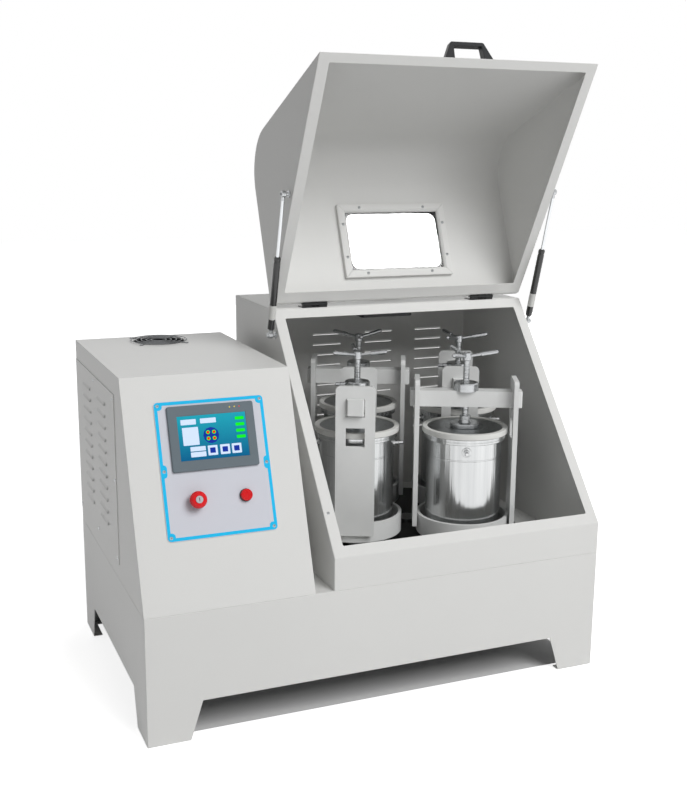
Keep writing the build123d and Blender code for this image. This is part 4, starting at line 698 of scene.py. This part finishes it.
lamp = {"across": 263, "up": 246, "rim": 0.015, "rimHeight": 0.004, "lens": 0.0138, "ribs": 5}
lampMiddle = faceFrame(lamp["across"], lamp["up"])
lensProfile = [(0, 0.0025), (lamp["lens"], 0.0025), (lamp["lens"], 0.0075)]
for i in range(1, 7):
    a = math.radians(90 * i / 6)
    lensProfile.append((lamp["lens"] - 0.003 + 0.003 * math.cos(a), 0.0105 + 0.003 * math.sin(a)))
for i in range(lamp["ribs"]):
    outer = (lamp["lens"] - 0.0035) * (1 - i / lamp["ribs"])
    inner = (lamp["lens"] - 0.0035) * (1 - (i + 0.7) / lamp["ribs"])
    lensProfile += [(outer, 0.0128), (inner + 0.0004, 0.0133), (inner, 0.0128)]
lensProfile += [(0, 0.0128)]
newPiece("lamp_lens", turned(lensProfile, 64, lampMiddle), lampRed, "cabinet")
rim = lamp["rim"]
newPiece("lamp_rim", turned([(0.0138, 0.0021), (rim, 0.0021), (rim, 0.0050), (rim - 0.0004, 0.0058), (0.0141, 0.0058),
                             (0.0138, 0.0054), (0.0138, 0.0021)], 64, lampMiddle), blackNylon, "cabinet")
softened("power_lamp", 0.0003, 1, finish=blackNylon, keep=lambda spot: faceOut.dot(spot - onFace(0, 0)) < 0.0019)
print("controls done")

# ---------- fans: chromed wire guards over black square frames ----------
guardTree, start = newTree("wireGuard", [("Wire", "Float", 0.0011), ("First Ring", "Float", 0.022),
                                         ("Ring Step", "Float", 0.013), ("Ear Reach", "Float", 0.088)])
section = addNode(guardTree, "GeometryNodeCurvePrimitiveCircle", None, {"Resolution": 10, "Radius": start["Wire"]}).outputs[0]
ringShapes = []
for i in range(5):
    size = mathNode(guardTree, "ADD", start["First Ring"], mathNode(guardTree, "MULTIPLY", start["Ring Step"], i))
    circle = addNode(guardTree, "GeometryNodeCurvePrimitiveCircle", None, {"Resolution": 64, "Radius": size}).outputs[0]
    ringShapes.append(addNode(guardTree, "GeometryNodeCurveToMesh", None, {"Curve": circle,
                              "Profile Curve": section}).outputs[0])
far = addNode(guardTree, "ShaderNodeCombineXYZ", None, {"X": start["Ear Reach"],
              "Z": mathNode(guardTree, "MULTIPLY", start["Wire"], -1.9)}).outputs[0]
near = addNode(guardTree, "ShaderNodeCombineXYZ", None, {"X": start["First Ring"],
               "Z": mathNode(guardTree, "MULTIPLY", start["Wire"], -1.9)}).outputs[0]
spoke = addNode(guardTree, "GeometryNodeCurvePrimitiveLine", None, {"Start": near, "End": far}).outputs[0]
spokeMesh = addNode(guardTree, "GeometryNodeCurveToMesh", None, {"Curve": spoke, "Profile Curve": section,
                    "Fill Caps": True}).outputs[0]
eye = addNode(guardTree, "GeometryNodeCurvePrimitiveCircle", None, {"Resolution": 24, "Radius": 0.0042}).outputs[0]
eyeMesh = addNode(guardTree, "GeometryNodeCurveToMesh", None, {"Curve": eye, "Profile Curve": section}).outputs[0]
eyeMoved = addNode(guardTree, "GeometryNodeTransform", None, {"Geometry": eyeMesh, "Translation": far}).outputs[0]
arm = addNode(guardTree, "GeometryNodeJoinGeometry")
for shape in (spokeMesh, eyeMoved):
    guardTree.links.new(shape, arm.inputs[0])
quarter = addNode(guardTree, "GeometryNodeMeshLine", {"mode": "OFFSET"}, {"Count": 4, "Offset": (0.0, 0.0, 0.0)}).outputs[0]
turnBy = mathNode(guardTree, "ADD", mathNode(guardTree, "MULTIPLY", addNode(guardTree, "GeometryNodeInputIndex").outputs[0],
                                             math.pi / 2), math.pi / 4)
armTurn = addNode(guardTree, "ShaderNodeCombineXYZ", None, {"Z": turnBy}).outputs[0]
spokes = addNode(guardTree, "GeometryNodeInstanceOnPoints", None, {"Points": quarter, "Instance": arm.outputs[0],
                 "Rotation": armTurn}).outputs[0]
guard = addNode(guardTree, "GeometryNodeJoinGeometry")
for shape in ringShapes + [spokes]:
    guardTree.links.new(shape, guard.inputs[0])
placed = addNode(guardTree, "GeometryNodeInstanceOnPoints", None, {"Points": start["Geometry"],
                 "Instance": guard.outputs[0]}).outputs[0]
closeTree(guardTree, start, placed)
fans = {"control_fan": (-0.39365, 0.2805, 0.813), "chamber_fan": (0.21535, 0.2145, 0.915)}
for node, (x, y, panelTop) in fans.items():
    wire = 0.0011
    baked(node + "_guard", pointHolder(node, [((x, y, panelTop + 0.0001 + 2.9 * wire), (0, 0, 1))]), guardTree,
          {"Wire": wire, "First Ring": 0.020, "Ring Step": 0.0135, "Ear Reach": 0.085}, guardWire, "cabinet")
    softened(node, 0.0006, 2, keep=lambda spot: spot.z < panelTop - 0.0010)
    softened(node + "_rotor", 0.0004, 2)
    ears = [(x + sx * 0.0601, y + sy * 0.0601) for sx in (-1, 1) for sy in (-1, 1)]
    screwHeads(node + "_screw_heads", [((ex, ey, panelTop + 0.0001), (0, 0, 1)) for ex, ey in ears], "cabinet",
               radius=0.0045, height=0.0028, seed=31)
print("fans done")

# ---------- four stations ----------
station = {"seatLow": 0.346, "seatTop": 0.399, "seatRadius": 0.119, "jarLow": 0.360, "jarTop": 0.614, "jar": 0.096,
           "flange": 0.104, "wall": 0.006, "base": 0.010, "portZ": 0.582, "ring": 0.109, "ringHeight": 0.015,
           "coverHeight": 0.012, "foot": 0.037, "footHeight": 0.012, "stem": 0.014, "stemTop": 0.656,
           "barLow": 0.681, "barTop": 0.722, "boss": 0.032, "bossTop": 0.742, "screwLow": 0.644, "screwTop": 0.818,
           "hub": 0.011, "reach": 0.080, "rise": math.radians(10), "rod": 0.004, "sleeve": 0.0055, "sleeveStart": 0.036,
           "pinZ": 0.732, "handleTurns": (0, 32, -23, -48), "pinSides": (1, 1, -1, -1)}
threadTree, start = newTree("clampThread", [("Core", "Float", 0.0077), ("Lead", "Float", 0.004), ("Turns", "Float", 28.0),
                                            ("Ridge", "Float", 0.0016)])
spiral = addNode(threadTree, "GeometryNodeCurveSpiral", None, {"Resolution": 24, "Rotations": start["Turns"],
                 "Start Radius": start["Core"], "End Radius": start["Core"],
                 "Height": mathNode(threadTree, "MULTIPLY", start["Turns"], start["Lead"])}).outputs[0]
tooth = addNode(threadTree, "GeometryNodeCurvePrimitiveCircle", None, {"Resolution": 4, "Radius": start["Ridge"]}).outputs[0]
ridge = addNode(threadTree, "GeometryNodeCurveToMesh", None, {"Curve": spiral, "Profile Curve": tooth,
                "Fill Caps": True}).outputs[0]
placed = addNode(threadTree, "GeometryNodeInstanceOnPoints", None, {"Points": start["Geometry"], "Instance": ridge})
closeTree(threadTree, start, placed.outputs[0])


def jarProfile():
    s = station
    outside = [(0, s["jarLow"]), (s["jar"] - 0.004, s["jarLow"]), (s["jar"] - 0.0012, s["jarLow"] + 0.0012),
               (s["jar"], s["jarLow"] + 0.004), (s["jar"], 0.556), (s["jar"] - 0.0008, 0.5568), (s["jar"] - 0.0008, 0.5592),
               (s["jar"], 0.560), (s["jar"], 0.5985), (s["jar"] + 0.0015, 0.600), (s["flange"] - 0.0010, 0.600),
               (s["flange"], 0.601), (s["flange"], 0.6055), (s["flange"] - 0.0008, 0.6061),
               (s["flange"] - 0.0008, 0.6079), (s["flange"], 0.6085), (s["flange"], 0.613), (s["flange"] - 0.001, s["jarTop"])]
    inside = s["jar"] - s["wall"]
    return outside + [(inside + 0.0008, s["jarTop"]), (inside, s["jarTop"] - 0.0008), (inside, s["jarLow"] + s["base"] + 0.008),
                      (inside - 0.008, s["jarLow"] + s["base"]), (0, s["jarLow"] + s["base"])]


for i, bearing in enumerate(mill["stations"]):
    s, n = station, str(i + 1)
    x = mill["millX"] + mill["stationRadius"] * math.cos(math.radians(bearing))
    y = mill["millY"] + mill["stationRadius"] * math.sin(math.radians(bearing))
    turn = math.radians(bearing + mill["barAngle"])
    upright = Matrix.Translation((x, y, 0)) @ Matrix.Rotation(turn, 4, "Z")
    barWay, crossWay = upright.to_3x3() @ Vector((1, 0, 0)), upright.to_3x3() @ Vector((0, 1, 0))
    # jar: spun shell with two pinch ports under its flange
    shells = [turned(jarProfile(), 96, upright)]
    for side in (-1, 1):
        port = axisFrame(Vector((x, y, s["portZ"])), crossWay * side)
        shells.append(turned([(0, 0.092), (0.012, 0.092), (0.012, 0.0985), (0.0112, 0.0992), (0.007, 0.0992),
                              (0.007, 0.1075), (0.0064, 0.1080), (0.0045, 0.1080), (0.0045, 0.1200), (0.0037, 0.1210),
                              (0, 0.1210)], 32, port))
    newPiece("jar_" + n + "_polished", joined(shells), polishedSteel, "station_" + n, ["jar_" + n])
    # cover: acetal ring round a steel disc
    low, ring, height = s["jarTop"], s["ring"], s["ringHeight"]
    newPiece("cover_ring_" + n, turned([(s["jar"] + 0.0002, low + 0.0003), (ring - 0.0016, low + 0.0003), (ring, low + 0.002),
                                        (ring, low + height - 0.0024), (ring - 0.0007, low + height - 0.0007),
                                        (ring - 0.0024, low + height), (s["jar"] + 0.0018, low + height),
                                        (s["jar"] + 0.0002, low + height - 0.0014), (s["jar"] + 0.0002, low + 0.0003)], 96,
                                       upright), acetalWhite, "station_" + n)
    newPiece("cover_disc_" + n, turned([(0, low + 0.0002), (s["jar"], low + 0.0002), (s["jar"], low + s["coverHeight"] - 0.001),
                                        (s["jar"] - 0.001, low + s["coverHeight"]), (0.052, low + s["coverHeight"]),
                                        (0.0512, low + s["coverHeight"] - 0.0008), (0.0498, low + s["coverHeight"] - 0.0008),
                                        (0.049, low + s["coverHeight"]), (0, low + s["coverHeight"])], 96, upright),
             coverSteel, "station_" + n, ["jar_cover_" + n])
    # pressure foot
    f = low + s["coverHeight"]
    newPiece("foot_" + n + "_turned", turned([(0, f), (s["foot"] - 0.001, f), (s["foot"], f + 0.001),
                                              (s["foot"], f + s["footHeight"] - 0.0022), (s["foot"] - 0.0008, f + s["footHeight"]
                                               - 0.0006), (s["foot"] - 0.003, f + s["footHeight"]), (0.020, f + s["footHeight"]),
                                              (0.0180, f + s["footHeight"] + 0.0016), (s["stem"] + 0.0002, f + 0.0185),
                                              (s["stem"], f + 0.021), (s["stem"], s["stemTop"] - 0.001),
                                              (s["stem"] - 0.001, s["stemTop"]), (0.0090, s["stemTop"]),
                                              (0.0086, s["stemTop"] - 0.0004), (0.0086, s["stemTop"] - 0.012),
                                              (0, s["stemTop"] - 0.012)], 64, upright), turnedSteel, "foot_" + n,
             ["pressure_foot_" + n])
    # cast bar with its steel boss and side pin
    inAxis = Vector((x, y, 0))
    softened("clamp_bar_" + n, 0.0028, 3, keep=lambda spot: spot.z < s["barTop"] + 0.0001, finish=clampPaint)
    newPiece("boss_" + n, turned([(0.0088, s["barTop"] - 0.001), (s["boss"], s["barTop"] - 0.001), (s["boss"], s["bossTop"]
                                  - 0.0025), (s["boss"] - 0.0025, s["bossTop"]), (0.0100, s["bossTop"]),
                                  (0.0088, s["bossTop"] - 0.0012), (0.0088, s["barTop"] - 0.001)], 64, upright), turnedSteel,
             "station_" + n)
    pin = axisFrame(inAxis + Vector((0, 0, s["pinZ"])), crossWay * s["pinSides"][i])
    newPiece("side_pin_" + n, turned([(0, 0.029), (0.006, 0.029), (0.006, 0.0425), (0.0052, 0.0435), (0.0045, 0.0435),
                                      (0.0045, 0.0550), (0.0034, 0.0562), (0, 0.0562)], 32, pin), turnedSteel, "station_" + n)
    softened("jar_seat_" + n, 0.0024, 3, finish=clampPaint)
    # clamp screw: turned core and hub, three bent-up arms with sleeves
    handle = upright @ Matrix.Rotation(math.radians(s["handleTurns"][i]), 4, "Z")
    hubLow = s["screwTop"] - 0.020
    shells = [turned([(0, s["screwLow"]), (0.0060, s["screwLow"]), (0.0077, s["screwLow"] + 0.002), (0.0077, hubLow),
                      (s["hub"] - 0.0015, hubLow), (s["hub"], hubLow + 0.0015), (s["hub"], s["screwTop"] - 0.0015),
                      (s["hub"] - 0.0015, s["screwTop"]), (0.004, s["screwTop"]), (0.0025, s["screwTop"] - 0.0015),
                      (0, s["screwTop"] - 0.0015)], 48, handle)]
    sleeves = []
    for arm in range(3):
        a = 2 * math.pi * arm / 3
        way = handle.to_3x3() @ Vector((math.cos(a) * math.cos(s["rise"]), math.sin(a) * math.cos(s["rise"]),
                                        math.sin(s["rise"])))
        root = axisFrame(Vector((x, y, s["screwTop"] - 0.010)), way)
        shells.append(turned([(0, 0.006), (s["rod"], 0.006), (s["rod"], s["sleeveStart"] + 0.004), (0, s["sleeveStart"]
                              + 0.004)], 24, root))
        end, grip = s["reach"], s["sleeve"]
        sleeves.append(turned([(s["rod"], s["sleeveStart"]), (grip - 0.0008, s["sleeveStart"]), (grip, s["sleeveStart"] + 0.001),
                               (grip, end - 0.006), (grip - 0.0008, end - 0.0032), (grip - 0.0025, end - 0.0008), (0.001, end),
                               (0, end)], 32, root))
    newPiece("screw_core_" + n, joined(shells), turnedSteel, "screw_" + n)
    newPiece("screw_sleeves_" + n, joined(sleeves), turnedSteel, "screw_" + n, ["clamp_screw_" + n])
    baked("screw_thread_" + n, pointHolder("thread", [((x, y, s["screwLow"] + 0.003), (0, 0, 1))]), threadTree,
          {"Core": 0.0074, "Lead": 0.004, "Turns": 36.0, "Ridge": 0.0011}, turnedSteel, "screw_" + n)
print("stations done")

# ---------- the rest of the CAD: edges broken where light catches them ----------
# the edging's lip outside the pane, seen as a dark line at the opening's right and top
lip = {"length": 0.2664, "width": 0.1524, "corner": 0.021, "outerLength": 0.2758, "outerWidth": 0.1618,
       "outerCorner": 0.0219, "low": 0.0039, "proud": 0.0008}
lipIn = roundedOutline(lip["length"], lip["width"], lip["corner"], 10)
lipOut = roundedOutline(lip["outerLength"], lip["outerWidth"], lip["outerCorner"], 10)
lipPlace = axisFrame(onLid((window["x"], windowY, mill["lidTop"] - lip["low"])), lidWay((0, 0, 1)), (1, 0, 0))
lipHigh = lip["low"] + lip["proud"]
newPiece("window_edging_lip", skinned([(lipOut, 0.0), (lipOut, lipHigh), (lipIn, lipHigh), (lipIn, 0.0)], lipPlace,
                                      closed=True), edgingRubber, "lid")

for node, offset in (("hinge_fixed_leaves", 0.0008), ("hinge_lid_leaves", 0.0008), ("window_gasket", 0.0005),
                     ("base_frame", 0.0010), ("bearing_housing", 0.0012), ("motor_pulley", 0.0008), ("drive_motor", 0.0010),
                     ("main_shaft", 0.0008)):
    softened(node, offset, 2)
for i in range(1, 5):
    softened("planet_gear_" + str(i), 0.0004, 1)
disc = {"low": 0.313, "top": 0.329, "radius": 0.294}
print("turning parts done")

# ---------- floor, world, lamp and camera ----------
floorFinish = bpy.data.materials.new("paleFloor")
floorFinish.use_nodes = True
floorTree = floorFinish.node_tree
floorShader = floorTree.nodes["Principled BSDF"]
floorShader.inputs["Base Color"].default_value = linear("#E2E2E2")
floorShader.inputs["Roughness"].default_value = 0.9
floorShader.inputs["Specular IOR Level"].default_value = 0.1
floorRays = addNode(floorTree, "ShaderNodeLightPath")
floorSeen = mathNode(floorTree, "MAXIMUM", floorRays.outputs["Is Camera Ray"], floorRays.outputs["Is Glossy Ray"])
floorSeen = mathNode(floorTree, "MAXIMUM", floorSeen, floorRays.outputs["Is Transmission Ray"])
floorShader.inputs["Emission Color"].default_value = linear("#FFFFFF")
# under the mill the glow stops: a painted shade patch shaped to the mill's footprint, so that the open bottom looks
# dark through the gap beside the disc
floorSpot = addNode(floorTree, "ShaderNodeSeparateXYZ", {}, {0: addNode(floorTree, "ShaderNodeTexCoord").outputs["Object"]})
floorOutsideShadeMask = mathNode(floorTree, "MAXIMUM",
                      mathNode(floorTree, "GREATER_THAN",
                               mathNode(floorTree, "ABSOLUTE", floorSpot.outputs["X"]), 0.56),
                      mathNode(floorTree, "GREATER_THAN",
                               mathNode(floorTree, "ABSOLUTE", floorSpot.outputs["Y"]), 0.34))
floorGlow = mathNode(floorTree, "MULTIPLY", floorSeen, floorOutsideShadeMask)
floorTree.links.new(mathNode(floorTree, "MULTIPLY", floorGlow, 0.80), floorShader.inputs["Emission Strength"])
floorMesh = bpy.data.meshes.new("floor")
floorMesh.from_pydata([(-14, -14, 0), (14, -14, 0), (14, 14, 0), (-14, 14, 0)], [], [(0, 1, 2, 3)])
floorMesh.materials.append(floorFinish)
floorPlane = bpy.data.objects.new("floor", floorMesh)
bpy.context.scene.collection.objects.link(floorPlane)

world = bpy.data.worlds.new("studio")
bpy.context.scene.world = world
world.use_nodes = True
tree = world.node_tree
tree.nodes.clear()
rays = addNode(tree, "ShaderNodeLightPath")
seen = mathNode(tree, "MAXIMUM", rays.outputs["Is Camera Ray"], rays.outputs["Is Glossy Ray"])
seen = mathNode(tree, "MAXIMUM", seen, rays.outputs["Is Transmission Ray"])
fill = addNode(tree, "ShaderNodeBackground", None, {"Color": linear("#FFFFFF"), "Strength": 0.22}).outputs[0]
white = addNode(tree, "ShaderNodeBackground", None, {"Color": linear("#FFFFFF"), "Strength": 1.0}).outputs[0]
both = addNode(tree, "ShaderNodeMixShader", None, {0: seen, 1: fill, 2: white}).outputs[0]
addNode(tree, "ShaderNodeOutputWorld", None, {"Surface": both})

studio = {"target": Vector((-0.01, 0.0, 0.75)), "keyWay": Vector((0.2, -0.54, 0.47)), "keyDistance": 6.5, "keySize": 3.6,
          "keyPower": 312.0, "backWay": Vector((0.5, 0.85, 0.15)), "backPower": 110.0}
# the lamps light the faces but make no white patches of their own in the polished steel
for name, way, power in (("key", studio["keyWay"], studio["keyPower"]), ("back", studio["backWay"], studio["backPower"])):
    lampData = bpy.data.lights.new(name, "AREA")
    lampData.shape = "SQUARE"
    lampData.size = studio["keySize"]
    lampData.energy = power
    lamp = bpy.data.objects.new(name, lampData)
    bpy.context.scene.collection.objects.link(lamp)
    lamp.matrix_world = axisFrame(studio["target"] + way.normalized() * studio["keyDistance"], way, (1, 0, 0))
    lamp.visible_glossy = False
    lamp.visible_camera = False

shot = {"place": Vector((-1.0950, -2.6839, 1.3166)), "heading": math.radians(22.684), "pitch": math.radians(12.426),
        "roll": math.radians(0.4886), "lens": 51.11}
eye = bpy.data.cameras.new("camera")
eye.sensor_width = 36.0
eye.sensor_fit = "AUTO"
eye.lens = shot["lens"]
eye.clip_end = 60.0
camera = bpy.data.objects.new("camera", eye)
bpy.context.scene.collection.objects.link(camera)
heading, pitch = shot["heading"], shot["pitch"]
forward = Vector((math.sin(heading) * math.cos(pitch), math.cos(heading) * math.cos(pitch), -math.sin(pitch)))
rightWay = Vector((math.cos(heading), -math.sin(heading), 0))
upWay = rightWay.cross(forward)
tilted = rightWay * math.cos(shot["roll"]) + upWay * math.sin(shot["roll"])
turn = Matrix((tilted, (-forward).cross(tilted), -forward)).transposed().to_4x4()
turn.translation = shot["place"]
camera.matrix_world = turn
bpy.context.scene.camera = camera
bpy.context.scene.view_settings.view_transform = "Standard"
bpy.context.scene.view_settings.look = "None"
